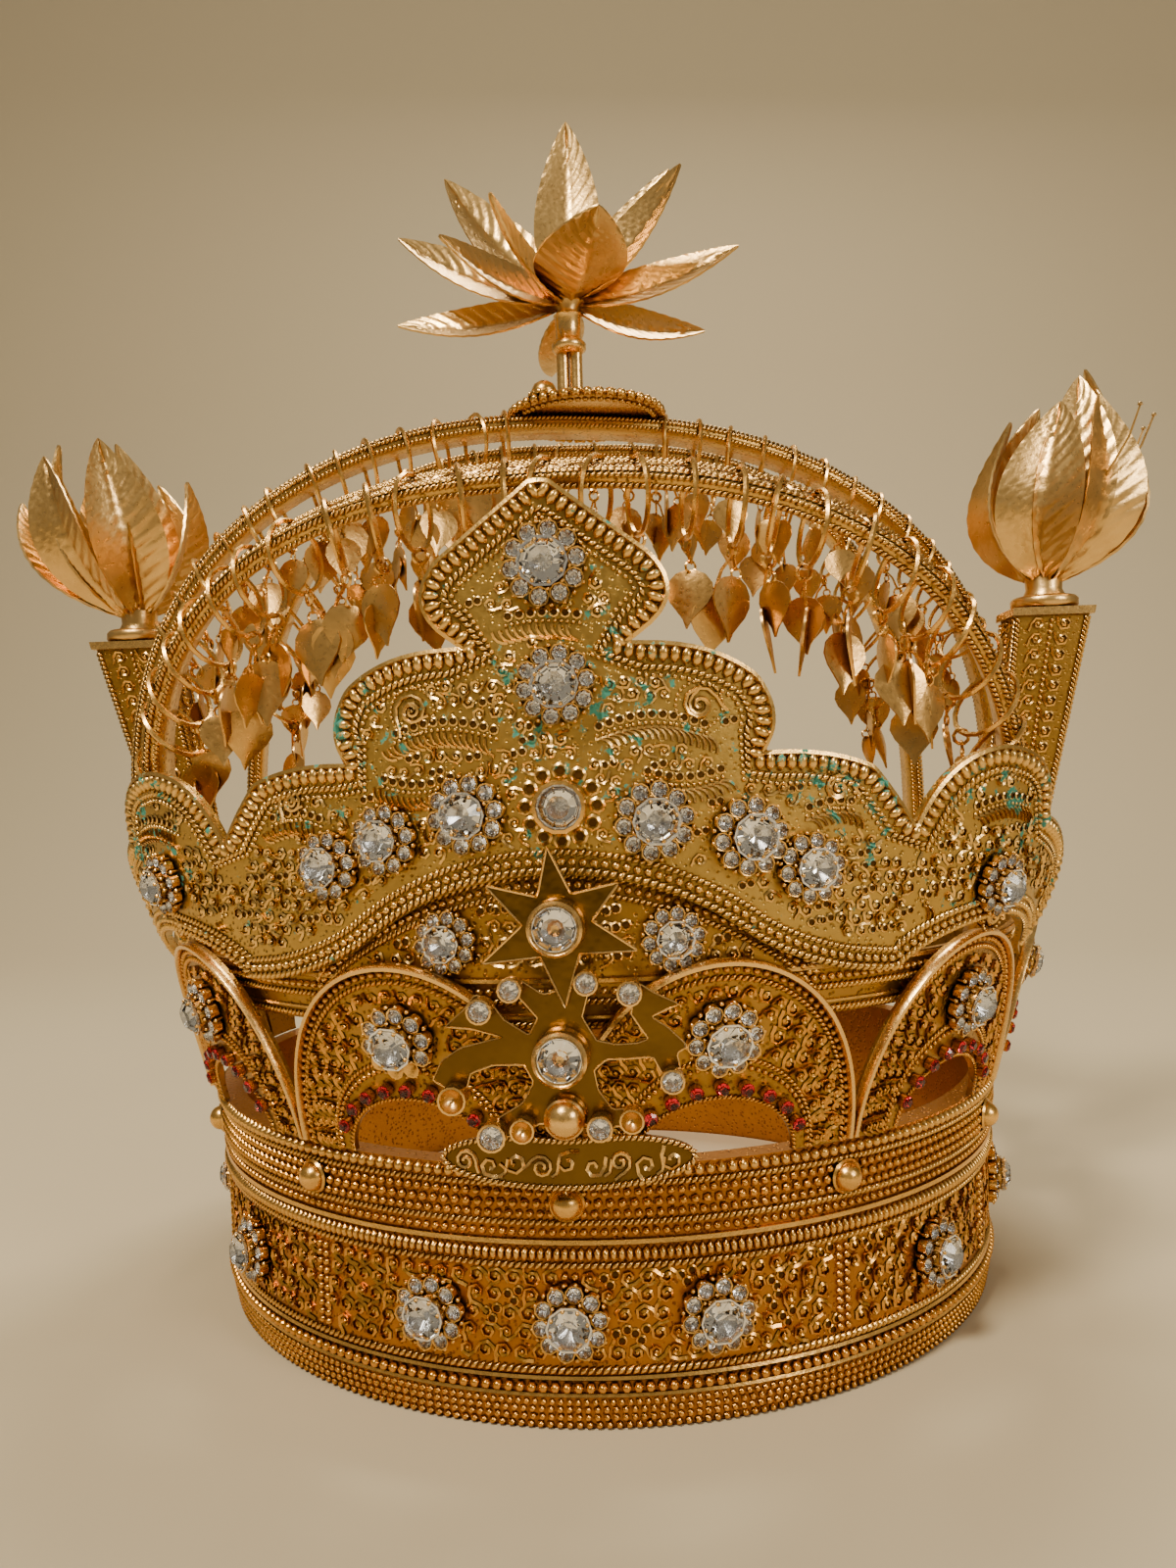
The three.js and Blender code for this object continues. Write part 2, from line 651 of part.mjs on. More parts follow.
// The matrix from an arch's own plane (x across, y up, z towards the front) to the crown
function archPlane(arch) {
  const tilt = new THREE.Matrix4().makeRotationX(Math.PI / 2 + THREE.MathUtils.degToRad(arch.lean));
  const place = new THREE.Matrix4().makeTranslation(0, arch.setback, arch.springing);
  const turn = new THREE.Matrix4().makeRotationZ(THREE.MathUtils.degToRad(arch.turn));
  return turn.multiply(place).multiply(tilt);
}

function leafShape() {
  const half = LEAF_WIDTH / 2;
  return new THREE.Shape([
    new THREE.Vector2(-half * 0.4, 0.4),
    new THREE.Vector2(-half, -LEAF_LENGTH * 0.38),
    new THREE.Vector2(0, -LEAF_LENGTH),
    new THREE.Vector2(half, -LEAF_LENGTH * 0.38),
    new THREE.Vector2(half * 0.4, 0.4),
  ]);
}

// One drop: a ring through which the strip passes, a hook and a thin leaf that hangs plumb
function leafDrop(arch, top, normal, widthWay) {
  const plumb = new THREE.Vector3(0, 0, -1);
  const hang = normal.clone().multiplyScalar(-0.8).addScaledVector(plumb, 0.6).normalize();
  const sag = Math.sqrt(RING_RADIUS ** 2 - (arch.width / 2) ** 2);
  const centre = top.clone().addScaledVector(hang, sag);
  const out = new THREE.Vector3().crossVectors(widthWay, hang);
  const ring = new THREE.TorusGeometry(RING_RADIUS, RING_WIRE / 2, 3, 6).rotateZ(Math.PI / 2);
  ring.applyMatrix4(new THREE.Matrix4().makeBasis(widthWay, hang, out).setPosition(centre));
  const eye = centre.clone().addScaledVector(hang, RING_RADIUS);
  const hook = new THREE.CylinderGeometry(RING_WIRE / 2, RING_WIRE / 2, HOOK_LENGTH + 0.6, 3);
  hook.rotateX(Math.PI / 2).translate(eye.x, eye.y, eye.z - HOOK_LENGTH / 2);
  const leaf = new THREE.ExtrudeGeometry(leafShape(), { depth: LEAF_SHEET, bevelEnabled: false });
  leaf.translate(0, 0, -LEAF_SHEET / 2).rotateX(Math.PI / 2);
  leaf.translate(eye.x, eye.y, eye.z - HOOK_LENGTH);
  return joined([ring, hook, leaf].map(toSolid));
}

function makeArch(arch) {
  const line = archLine(arch, ARCH_STEPS / 2);
  const outer = offsetLine(line, STRIP_THICKNESS / 2);
  const inner = offsetLine(line, -STRIP_THICKNESS / 2);
  const outline = [...outer, ...mirrored(outer), ...[...inner, ...mirrored(inner)].reverse()];
  const shape = new THREE.Shape(outline);
  const strip = new THREE.ExtrudeGeometry(shape, { depth: arch.width, bevelEnabled: false });
  const plane = archPlane(arch);
  const solids = [toSolid(strip.translate(0, 0, -arch.width / 2).applyMatrix4(plane))];
  const widthWay = new THREE.Vector3(0, 0, 1).transformDirection(plane);
  const whole = new THREE.SplineCurve([...outer, ...mirrored(outer)]);
  for (let i = 0; i < arch.dropsPerSide; i += 1) {
    const near = arch.firstDrop + ((arch.lastDrop - arch.firstDrop) * i) / (arch.dropsPerSide - 1);
    [near, 1 - near].forEach((share) => {
      const flatTop = whole.getPointAt(share);
      const along = whole.getTangentAt(share);
      const top = new THREE.Vector3(flatTop.x, flatTop.y, 0).applyMatrix4(plane);
      const normal = new THREE.Vector3(along.y, -along.x, 0).transformDirection(plane);
      solids.push(leafDrop(arch, top, normal, widthWay));
    });
  }
  return joined(solids);
}

[FRONT_ARCH, MIDDLE_ARCH, REAR_ARCH].forEach((arch) => addPiece(arch.name, makeArch(arch), gold));

// Hub plate across the middle and rear arches, with a knob and the finial's stem

const archTop = MIDDLE_ARCH.springing + MIDDLE_ARCH.rise + STRIP_THICKNESS / 2;
const hubBase = archTop + GAP;
const hubTop = hubBase + HUB_THICKNESS;

function makeHub() {
  const points = [];
  for (let i = 0; i < HUB_LOBES * 2; i += 1) {
    points.push(polar((180 * i) / HUB_LOBES, i % 2 === 0 ? HUB_RADIUS : HUB_RADIUS * 0.93));
  }
  const shape = new THREE.Shape(points);
  const plate = new THREE.ExtrudeGeometry(shape, { depth: HUB_THICKNESS, bevelEnabled: false });
  plate.translate(0, 0, hubBase);
  const foot = HUB_RADIUS * 0.54;
  const dome = turned([[0, -0.5], [foot, -0.5], [foot * 0.75, HUB_DOME], [0, HUB_DOME]], 12);
  dome.translate(0, 0, hubTop);
  return toSolid(plate).add(toSolid(dome));
}

addPiece('hub_plate', makeHub(), gold);

const stemBase = hubTop + HUB_DOME + GAP;

function makeStem() {
  const profile = [
    [0, 0],
    [STEM_RADIUS, 0],
    [STEM_RADIUS, STEM_HEIGHT * 0.55],
    [COLLAR_RING_RADIUS, STEM_HEIGHT * 0.6],
    [COLLAR_RING_RADIUS, STEM_HEIGHT * 0.7],
    [STEM_RADIUS, STEM_HEIGHT * 0.75],
    [STEM_RADIUS, STEM_HEIGHT],
    [0, STEM_HEIGHT],
  ];
  return toSolid(turned(profile, 10).translate(STEM_OFFSET, 0, stemBase));
}

addPiece('finial_stem', makeStem(), paleGold);

function makeKnob() {
  const profile = [[0, 0], [KNOB_RADIUS, 0], [KNOB_RADIUS * 0.8, 2.6], [0, 4.2]];
  return toSolid(turned(profile, 10).translate(KNOB_OFFSET, KNOB_SETBACK, hubTop + GAP));
}

addPiece('top_knob', makeKnob(), gold);

// Petals: thin pointed ovals with a raised midrib, bent from base to tip

function petal(base, tip, width) {
  const along = new THREE.Vector3().subVectors(tip, base);
  const face = new THREE.Vector3(0, -0.8, 0.6);
  face.addScaledVector(along, -face.dot(along) / along.lengthSq()).normalize();
  const side = new THREE.Vector3().crossVectors(along, face).normalize();
  const stations = [[0, 0.16], [0.38, 0.94], [0.72, 0.86]];
  const rows = stations.map(([share, spread]) => {
    const middle = base.clone().addScaledVector(along, share);
    middle.addScaledVector(face, -PETAL_BOW * Math.sin(Math.PI * share));
    const half = (width / 2) * spread;
    const lift = half * 0.28;
    return [
      middle.clone().addScaledVector(side, -half).addScaledVector(face, lift),
      middle,
      middle.clone().addScaledVector(side, half).addScaledVector(face, lift),
    ];
  });
  return sheetFromRows(rows, tip, face);
}

// A closed thin sheet from rows of three points and a tip
function sheetFromRows(rows, tip, face) {
  const upper = [...rows.flat(), tip];
  const lower = upper.map((point) => point.clone().addScaledVector(face, -PETAL_SHEET));
  const triangles = [];
  const count = upper.length;
  const addBoth = (a, b, c) => triangles.push([a, b, c], [a + count, c + count, b + count]);
  for (let i = 0; i + 1 < rows.length; i += 1) {
    for (let j = 0; j < 2; j += 1) {
      const a = i * 3 + j;
      addBoth(a, a + 1, a + 4);
      addBoth(a, a + 4, a + 3);
    }
  }
  const lastRow = (rows.length - 1) * 3;
  addBoth(lastRow, lastRow + 1, count - 1);
  addBoth(lastRow + 1, lastRow + 2, count - 1);
  const rim = [0, 1, 2];
  for (let i = 1; i < rows.length; i += 1) {
    rim.push(i * 3 + 2);
  }
  rim.push(count - 1);
  for (let i = rows.length - 1; i > 0; i -= 1) {
    rim.push(i * 3);
  }
  rim.forEach((a, i) => {
    const b = rim[(i + 1) % rim.length];
    triangles.push([a, a + count, b + count], [a, b + count, b]);
  });
  const all = [...upper, ...lower];
  const geometry = new THREE.BufferGeometry().setFromPoints(triangles.flat().map((i) => all[i]));
  const solid = toSolid(geometry);
  return solid.volume() > 0 ? solid : toSolid(flipped(geometry));
}

function flipped(geometry) {
  const position = geometry.attributes.position;
  const points = [];
  for (let i = 0; i < position.count; i += 3) {
    [0, 2, 1].forEach((k) => points.push(new THREE.Vector3().fromBufferAttribute(position, i + k)));
  }
  return new THREE.BufferGeometry().setFromPoints(points);
}

// Lotus petals of the finial as [direction, elevation, length, width]; direction 0 is the front
// and lengths and widths are shares of the lotus's height
const lotusPetals = [
  [180, 80, 1, 0.327], [106, 53, 0.873, 0.273], [66, 40, 0.8, 0.273], [20, 8, 0.727, 0.327],
  [-98, 49, 0.927, 0.291], [-30, 30, 0.655, 0.255], [-90, 25, 0.909, 0.273], [-56, 18, 0.691, 0.273],
  [-97, 0, 0.873, 0.273], [88, 15, 0.855, 0.273], [105, -8, 0.691, 0.273], [-165, -10, 0.655, 0.255],
];

function alongPetal([direction, elevation], distance) {
  const rise = THREE.MathUtils.degToRad(elevation);
  const reach = aroundCrown(direction, distance * Math.cos(rise), distance * Math.sin(rise));
  return reach.add(lotusHeart);
}

const lotusHeart = new THREE.Vector3(STEM_OFFSET, 0, stemBase + STEM_HEIGHT + GAP + CALYX_DROP);

function makeLotus() {
  const profile = [[0, -CALYX_DROP], [STEM_RADIUS, -CALYX_DROP], [CALYX_RADIUS, 1.2], [0, CALYX_RADIUS]];
  const calyx = turned(profile, 10);
  const solids = [toSolid(calyx.translate(...lotusHeart.toArray()))];
  lotusPetals.forEach((spec) => {
    const [length, width] = [spec[2] * LOTUS_HEIGHT, spec[3] * LOTUS_HEIGHT];
    solids.push(petal(alongPetal(spec, PETAL_START), alongPetal(spec, length), width));
  });
  return joined(solids);
}

addPiece('lotus_finial', makeLotus(), paleGold);

// Side horns, each a tapered case with a tang down behind the gallery, and its bud

const tangRadius = galleryFace(GALLERY_FOOT) - GALLERY_SHEET - GAP - HORN_TANG_SHEET;

function hornSection(width, depth, frame) {
  return [[-1, -1], [1, -1], [1, 1], [-1, 1]].map(([a, b]) => (
    new THREE.Vector3((a * width) / 2, (b * depth) / 2, 0).applyMatrix4(frame)
  ));
}

// A closed prism through a stack of four-cornered sections
function stackedPrism(sections) {
  const points = sections.flat();
  const triangles = [[0, 2, 1], [0, 3, 2]];
  for (let i = 0; i + 1 < sections.length; i += 1) {
    for (let j = 0; j < 4; j += 1) {
      const a = i * 4 + j;
      const b = i * 4 + ((j + 1) % 4);
      triangles.push([a, b, b + 4], [a, b + 4, a + 4]);
    }
  }
  const top = (sections.length - 1) * 4;
  triangles.push([top, top + 1, top + 2], [top, top + 2, top + 3]);
  return toSolid(new THREE.BufferGeometry().setFromPoints(triangles.flat().map((i) => points[i])));
}

function hornFrame(azimuth, radius, height) {
  const outward = aroundCrown(azimuth, 1, 0);
  const along = new THREE.Vector3(0, 0, 1).cross(outward);
  return new THREE.Matrix4()
    .makeBasis(along, outward.clone().negate(), new THREE.Vector3(0, 0, 1))
    .setPosition(aroundCrown(azimuth, radius, height));
}

function makeHorn({ azimuth, topRadius }) {
  const at = (width, depth, radius, height) => (
    hornSection(width, depth, hornFrame(azimuth, radius, height))
  );
  const body = stackedPrism([
    at(HORN_FOOT_WIDTH, HORN_FOOT_DEPTH, HORN_FOOT_RADIUS, HORN_FOOT_HEIGHT),
    at(HORN_TOP_WIDTH, HORN_TOP_DEPTH, topRadius, HORN_TOP_HEIGHT),
  ]);
  const cap = stackedPrism([
    at(HORN_TOP_WIDTH + 2, HORN_TOP_DEPTH + 2, topRadius, HORN_TOP_HEIGHT - 0.4),
    at(HORN_TOP_WIDTH + 2, HORN_TOP_DEPTH + 2, topRadius, HORN_TOP_HEIGHT + HORN_CAP),
  ]);
  const tang = stackedPrism([
    at(HORN_FOOT_WIDTH, HORN_TANG_SHEET, tangRadius, GALLERY_FOOT),
    at(HORN_FOOT_WIDTH, HORN_TANG_SHEET, tangRadius + GALLERY_HEIGHT * LUNETTE_SPLAY, galleryTop),
    at(HORN_FOOT_WIDTH, HORN_TANG_SHEET, HORN_FOOT_RADIUS - 3, HORN_FOOT_HEIGHT + 2),
  ]);
  return joined([body, cap, tang]);
}

// Bud petals as [direction from outward, belly radius, tip radius, tip height, width]; all but the
// direction are shares of the bud's height
const leftPetals = [
  [0, 0.298, 0.386, 0.596, 0.421], [180, 0.333, 0.509, 0.667, 0.421], [-75, 0.281, 0.14, 0.877, 0.456],
  [125, 0.263, 0.351, 0.807, 0.421], [45, 0.263, 0.211, 0.754, 0.421],
];
const rightPetals = [
  [0, 0.316, 0.263, 0.649, 0.421], [180, 0.316, 0.333, 0.754, 0.421], [-80, 0.298, 0.105, 0.877, 0.456],
  [95, 0.298, 0.14, 0.947, 0.456], [10, 0.158, 0.053, 1, 0.316],
];

// A bud's petal; the whole bud leans outward by a share of its height
function budPetal([direction, ...shares], heart, azimuth, lean) {
  const [belly, tipRadius, tipHeight, width] = shares.map((share) => share * BUD_HEIGHT);
  const reach = (radius, height) => aroundCrown(azimuth + direction, radius, height)
    .add(aroundCrown(azimuth, height * lean, 0))
    .add(heart);
  const sideways = aroundCrown(azimuth + direction + 90, 1, 0);
  const stations = [
    [BUD_NECK_RADIUS * 0.7, 2, 0.2],
    [belly, tipHeight * 0.42, 0.9],
    [(belly + tipRadius) / 2 + 1, tipHeight * 0.72, 0.8],
  ];
  const rows = stations.map(([radius, height, spread]) => {
    const half = (width / 2) * spread;
    const edge = reach(radius - half * 0.35, height);
    return [
      edge.clone().addScaledVector(sideways, -half),
      reach(radius, height),
      edge.clone().addScaledVector(sideways, half),
    ];
  });
  return sheetFromRows(rows, reach(tipRadius, tipHeight), aroundCrown(azimuth + direction, 1, 0));
}

function makeBud({ azimuth, topRadius, lean, petals }) {
  const seat = aroundCrown(azimuth, topRadius, HORN_TOP_HEIGHT + HORN_CAP + GAP);
  const profile = [
    [0, 0],
    [BUD_COLLAR_RADIUS, 0],
    [BUD_COLLAR_RADIUS, BUD_COLLAR_HEIGHT],
    [BUD_NECK_RADIUS, BUD_COLLAR_HEIGHT],
    [BUD_NECK_RADIUS * 0.9, BUD_COLLAR_HEIGHT + BUD_NECK_HEIGHT],
    [0, BUD_COLLAR_HEIGHT + BUD_NECK_HEIGHT + 4],
  ];
  const heart = seat.clone().add(new THREE.Vector3(0, 0, BUD_COLLAR_HEIGHT + 2));
  const solids = [toSolid(turned(profile, 10).translate(...seat.toArray()))];
  petals.forEach((spec) => solids.push(budPetal(spec, heart, azimuth, lean)));
  return joined(solids);
}

const leftHorn = { azimuth: HORN_TURN - HORN_ANGLE, topRadius: LEFT_HORN_REACH };
const rightHorn = { azimuth: HORN_TURN + HORN_ANGLE, topRadius: RIGHT_HORN_REACH };
const hornSides = [
  { ...leftHorn, side: 'left', lean: 0.3, petals: leftPetals },
  { ...rightHorn, side: 'right', lean: 0.17, petals: rightPetals },
];
hornSides.forEach((horn) => {
  addPiece(`horn_${horn.side}`, makeHorn(horn), gold);
  addPiece(`bud_${horn.side}`, makeBud(horn), paleGold);
});

// The origin moves from the band's centre to the middle of the whole crown's underside
const box = new THREE.Box3().setFromObject(crown);
const middle = box.getCenter(new THREE.Vector3());
crown.children.forEach((piece) => piece.geometry.translate(-middle.x, -middle.y, -box.min.z));

export default crown;
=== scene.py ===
"""Looks of the ceremonial crown. Lengths in the tables are millimetres in the crown's own frame:
origin on the headband's axis at its lower edge, +Z up, the front faces -Y."""
import math
import random

import bpy
import numpy as np
from mathutils import Matrix, Vector
from mathutils.geometry import delaunay_2d_cdt


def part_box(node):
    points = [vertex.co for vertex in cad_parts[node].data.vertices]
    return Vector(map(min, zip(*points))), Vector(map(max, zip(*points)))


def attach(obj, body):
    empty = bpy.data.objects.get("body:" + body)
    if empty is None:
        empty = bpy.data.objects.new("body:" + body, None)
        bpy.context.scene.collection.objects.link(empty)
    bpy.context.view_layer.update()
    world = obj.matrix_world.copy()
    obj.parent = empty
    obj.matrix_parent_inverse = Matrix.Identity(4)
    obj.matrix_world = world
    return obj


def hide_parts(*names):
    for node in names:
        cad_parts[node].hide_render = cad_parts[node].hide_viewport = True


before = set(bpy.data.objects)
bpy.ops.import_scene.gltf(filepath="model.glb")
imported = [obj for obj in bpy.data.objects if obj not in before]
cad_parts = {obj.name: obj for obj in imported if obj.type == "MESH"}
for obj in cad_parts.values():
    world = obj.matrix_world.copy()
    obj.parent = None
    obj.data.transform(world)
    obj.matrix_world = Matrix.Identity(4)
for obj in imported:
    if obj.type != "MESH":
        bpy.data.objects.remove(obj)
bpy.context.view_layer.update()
rng = random.Random(11)

MM = 0.001
DEG = math.pi / 180
LUNETTES = 11
PITCH = 360 / LUNETTES
gallery_low, gallery_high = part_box("gallery")
AXIS_X = (gallery_low[0] + gallery_high[0]) / 2
AXIS_Y = gallery_high[1] - (gallery_high[0] - gallery_low[0]) / 2


# Arrays of points and frames

def around(az, radius, z):
    """Points on the crown: azimuth in degrees from the front, radius and height in mm."""
    az, radius, z = np.broadcast_arrays(np.asarray(az, float), radius, z)
    return np.stack([radius * np.sin(az * DEG), -radius * np.cos(az * DEG), z], -1).astype(float)


def unit(v):
    return v / np.maximum(np.linalg.norm(v, axis=-1, keepdims=True), 1e-9)


class Pile:
    """Vertices and triangles gathered into one mesh."""

    def __init__(self):
        self.points, self.tris, self.count = [], [], 0

    def add(self, points, tris):
        points = np.asarray(points, float).reshape(-1, 3)
        self.points.append(points)
        self.tris.append(np.asarray(tris, int).reshape(-1, 3) + self.count)
        self.count += len(points)

    def stamp(self, template, at, x_way, z_way, size):
        """Copies of a template at points, its x and z turned to the given ways, scaled by size."""
        verts, tris = template
        at = np.asarray(at, float).reshape(-1, 3)
        n = len(at)
        z_way = unit(np.broadcast_to(np.asarray(z_way, float), (n, 3)))
        x_way = np.broadcast_to(np.asarray(x_way, float), (n, 3))
        y_way = unit(np.cross(z_way, x_way))
        x_way = np.cross(y_way, z_way)
        size = np.broadcast_to(np.asarray(size, float), (n, 3))
        placed = (at[:, None] + x_way[:, None] * (verts[None, :, 0:1] * size[:, None, 0:1])
                  + y_way[:, None] * (verts[None, :, 1:2] * size[:, None, 1:2])
                  + z_way[:, None] * (verts[None, :, 2:3] * size[:, None, 2:3]))
        all_tris = tris[None] + (np.arange(n) * len(verts))[:, None, None]
        self.add(placed, all_tris)

    def tube(self, path, radius, sides=5, up=(0, 0, 1), flat=1.0, closed=False):
        """A wire along a path; flat squeezes it along its up way."""
        path = np.asarray(path, float)
        ahead = np.roll(path, -1, 0) - path
        back = path - np.roll(path, 1, 0)
        if not closed:
            ahead[-1], back[0] = back[-1], ahead[0]
        along = unit(unit(ahead) + unit(back))
        up = np.broadcast_to(np.asarray(up, float), path.shape)
        side = unit(np.cross(along, up))
        top = unit(np.cross(side, along))
        radius = np.broadcast_to(np.asarray(radius, float), (len(path),))[:, None, None]
        angle = np.arange(sides) * 2 * math.pi / sides
        rings = (path[:, None] + side[:, None] * np.cos(angle)[None, :, None] * radius
                 + top[:, None] * np.sin(angle)[None, :, None] * radius * flat)
        self.loft(rings, closed)

    def loft(self, rings, closed=False):
        """Skin over rings of points, with the ends filled unless it closes on itself."""
        rings = np.asarray(rings, float)
        m, k = rings.shape[:2]
        i = np.arange(m if closed else m - 1)[:, None]
        j = np.arange(k)[None]
        a, b = i * k + j, i * k + (j + 1) % k
        c, d = ((i + 1) % m) * k + (j + 1) % k, ((i + 1) % m) * k + j
        tris = [np.stack([a, b, c], -1).reshape(-1, 3), np.stack([a, c, d], -1).reshape(-1, 3)]
        if not closed:
            fan = np.arange(1, k - 1)
            first = np.stack([0 * fan, fan + 1, fan], -1)
            tris += [first, first[:, ::-1] + (m - 1) * k]
        self.add(rings, np.concatenate(tris))

    def grid_shell(self, outer, inner):
        """A closed sheet between two matching grids of points."""
        m, k = outer.shape[:2]
        i, j = np.meshgrid(np.arange(m - 1), np.arange(k - 1), indexing="ij")
        a, b = i * k + j, i * k + j + 1
        c, d = a + k + 1, a + k
        quads = np.stack([a, b, c, a, c, d], -1).reshape(-1, 3)
        rim = ([(0, j) for j in range(k)] + [(i, k - 1) for i in range(1, m)]
               + [(m - 1, j) for j in range(k - 2, -1, -1)] + [(i, 0) for i in range(m - 2, 0, -1)])
        edge = np.array([i * k + j for i, j in rim])
        after = np.roll(edge, -1)
        size = m * k
        wall = np.concatenate([np.stack([edge, edge + size, after + size], -1),
                               np.stack([edge, after + size, after], -1)])
        self.add(np.concatenate([outer.reshape(-1, 3), inner.reshape(-1, 3)]),
                 np.concatenate([quads, quads[:, ::-1] + size, wall]))

    def template(self):
        return np.concatenate(self.points), np.concatenate(self.tris)

    def piece(self, name, material, slot, nodes=(), smooth=True):
        points, tris = self.template()
        points = points * MM + np.array([AXIS_X, AXIS_Y, 0.0])
        mesh = bpy.data.meshes.new(name)
        mesh.vertices.add(len(points))
        mesh.vertices.foreach_set("co", points.astype(np.float32).ravel())
        mesh.loops.add(len(tris) * 3)
        mesh.loops.foreach_set("vertex_index", tris.astype(np.int32).ravel())
        mesh.polygons.add(len(tris))
        mesh.polygons.foreach_set("loop_start", np.arange(0, len(tris) * 3, 3, dtype=np.int32))
        mesh.polygons.foreach_set("use_smooth", np.full(len(tris), smooth))
        mesh.update(calc_edges=True)
        mesh.validate()
        if smooth:
            mesh.set_sharp_from_angle(angle=55 * DEG)
        mesh.materials.append(material)
        obj = bpy.data.objects.new(name, mesh)
        bpy.context.scene.collection.objects.link(obj)
        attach(obj, "root")
        if nodes:
            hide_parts(*nodes)
        return obj


def ball(sides=7, rings=4, lowest=-90):
    """Unit ball, or the part of it above a latitude."""
    rows = [np.array([[math.cos(e) * math.cos(a), math.cos(e) * math.sin(a), math.sin(e)]
                      for a in np.arange(sides) * 2 * math.pi / sides])
            for e in np.linspace(lowest, 90, rings + 1)[(1 if lowest == -90 else 0):-1] * DEG]
    verts = np.concatenate(rows + [np.array([[0, 0, math.sin(lowest * DEG)], [0, 0, 1.0]])])
    tris = []
    last = (len(rows) - 1) * sides
    low, high = len(rows) * sides, len(rows) * sides + 1
    for j in range(sides):
        n = (j + 1) % sides
        for i in range(len(rows) - 1):
            a = i * sides
            tris += [[a + j, a + n, a + sides + n], [a + j, a + sides + n, a + sides + j]]
        tris += [[low, n, j], [high, last + j, last + n]]
    return verts, np.array(tris)


def turned(profile, sides):
    """Closed turned form from (radius, height) pairs whose ends lie on the axis."""
    pile = Pile()
    pile.loft([[[r * math.cos(a), r * math.sin(a), h] for a in np.arange(sides) * 2 * math.pi / sides]
               for r, h in profile])
    return pile.template()


def hoop(wire, sides=14, section=5):
    """Unit ring in the xy plane."""
    pile = Pile()
    a = np.arange(sides) * 2 * math.pi / sides
    pile.tube(np.stack([np.cos(a), np.sin(a), 0 * a], -1), wire, section, closed=True)
    return pile.template()


BEAD = ball(6, 2, -10)
GRAIN = ball(5, 2, 0)
STRAND = ball(4, 2, 0)
GADROON = ball(6, 2, 0)
RING = hoop(0.26, 8, 3)
GEM = turned([(0, -0.7), (0.001, -0.7), (0.96, -0.08), (1, 0.06), (0.58, 0.42), (0.56, 0.43), (0, 0.43)], 10)
FOIL = turned([(0.01, -0.95), (1.12, -0.1), (1.16, 0.04), (1.06, 0.04), (0.99, -0.1), (0.01, -0.8)], 10)
COLLET = turned([(0.01, -1.1), (1.2, -1.1), (1.34, -0.3), (1.3, 0.22), (1.12, 0.26), (1.06, -0.2),
                 (0.01, -0.96)], 14)
SMALL_GEM = turned([(0.001, -0.7), (0.96, -0.08), (1, 0.06), (0.58, 0.42), (0.001, 0.42)], 8)
SMALL_FOIL = turned([(0.01, -0.95), (1.14, -0.02), (1.05, 0.03), (0.01, -0.8)], 7)
SMALL_COLLET = turned([(0.01, -1.1), (1.08, -1.1), (1.18, 0.12), (1.06, 0.12), (0.01, -0.96)], 9)


# Wires, ropes, beads and scrolls laid on a surface wrap(x, z, h): x along, z up, h out of it, in mm

def normals(wrap, x, z):
    e = 0.05
    dx = wrap(x + e, z, 0) - wrap(x - e, z, 0)
    dz = wrap(x, z + e, 0) - wrap(x, z - e, 0)
    return unit(np.cross(dx, dz))


def run_of(path):
    """Length run from a flat path's start to each of its points."""
    return np.concatenate([[0], np.cumsum(np.linalg.norm(np.diff(path, axis=0), axis=1))])


def at_run(s, run, path):
    return np.stack([np.interp(s, run, path[:, 0]), np.interp(s, run, path[:, 1])], -1)


def resample(path, step, closed=False):
    """Points at equal steps along a flat path, and the way it runs at each."""
    path = np.asarray(path, float)
    if closed:
        path = np.concatenate([path, path[:1]])
    run = run_of(path)
    n = max(2, round(run[-1] / step))
    s = np.linspace(0, run[-1], n + 1)[:-1] if closed else (np.arange(n) + 0.5) * run[-1] / n
    e = step * 0.3
    return at_run(s, run, path), unit(at_run(s + e, run, path) - at_run(s - e, run, path))


def lay(wrap, at, way):
    """World points, ways along and normals for flat points and ways on a surface."""
    x, z = at[:, 0], at[:, 1]
    e = 0.05
    along = wrap(x + way[:, 0] * e, z + way[:, 1] * e, 0) - wrap(x - way[:, 0] * e, z - way[:, 1] * e, 0)
    return wrap(x, z, 0), unit(along), normals(wrap, x, z)


def spot(wrap, x, z):
    """World point, way along and normal for one place on a surface."""
    p, along, n = lay(wrap, np.array([[x, z]]), np.array([[1.0, 0.0]]))
    return p[0], along[0], n[0]


def beads(pile, wrap, path, radius, step=None, closed=False, rise=0.2, template=BEAD):
    at, way = resample(path, step or radius * 2.15, closed)
    p, along, n = lay(wrap, at, way)
    pile.stamp(template, p + n * radius * rise, along, n, radius)


def rope(pile, wrap, path, radius, closed=False, rise=0.3, slant=0.75, pitch=2.5):
    """A twisted wire: slanted strands one after another."""
    at, way = resample(path, radius * pitch * 0.8, closed)
    p, along, n = lay(wrap, at, way)
    side = np.cross(n, along)
    strand = along * math.cos(slant) + side * math.sin(slant)
    pile.stamp(STRAND, p + n * radius * rise, strand, n, (radius * 1.75, radius * 0.8, radius))


def wire(pile, wrap, path, radius, closed=False, rise=0.2, step=1.6, sides=5, flat=1.0):
    at, way = resample(path, step, closed)
    p, _, n = lay(wrap, at, way)
    pile.tube(p + n * radius * rise, radius, sides, n, flat, closed)


def gadroons(pile, wrap, path, length, width, height, closed=False):
    """Ribs across the way of a path."""
    at, way = resample(path, width, closed)
    p, along, n = lay(wrap, at, way)
    pile.stamp(GADROON, p, np.cross(n, along), n, (length / 2, width * 0.52, height))


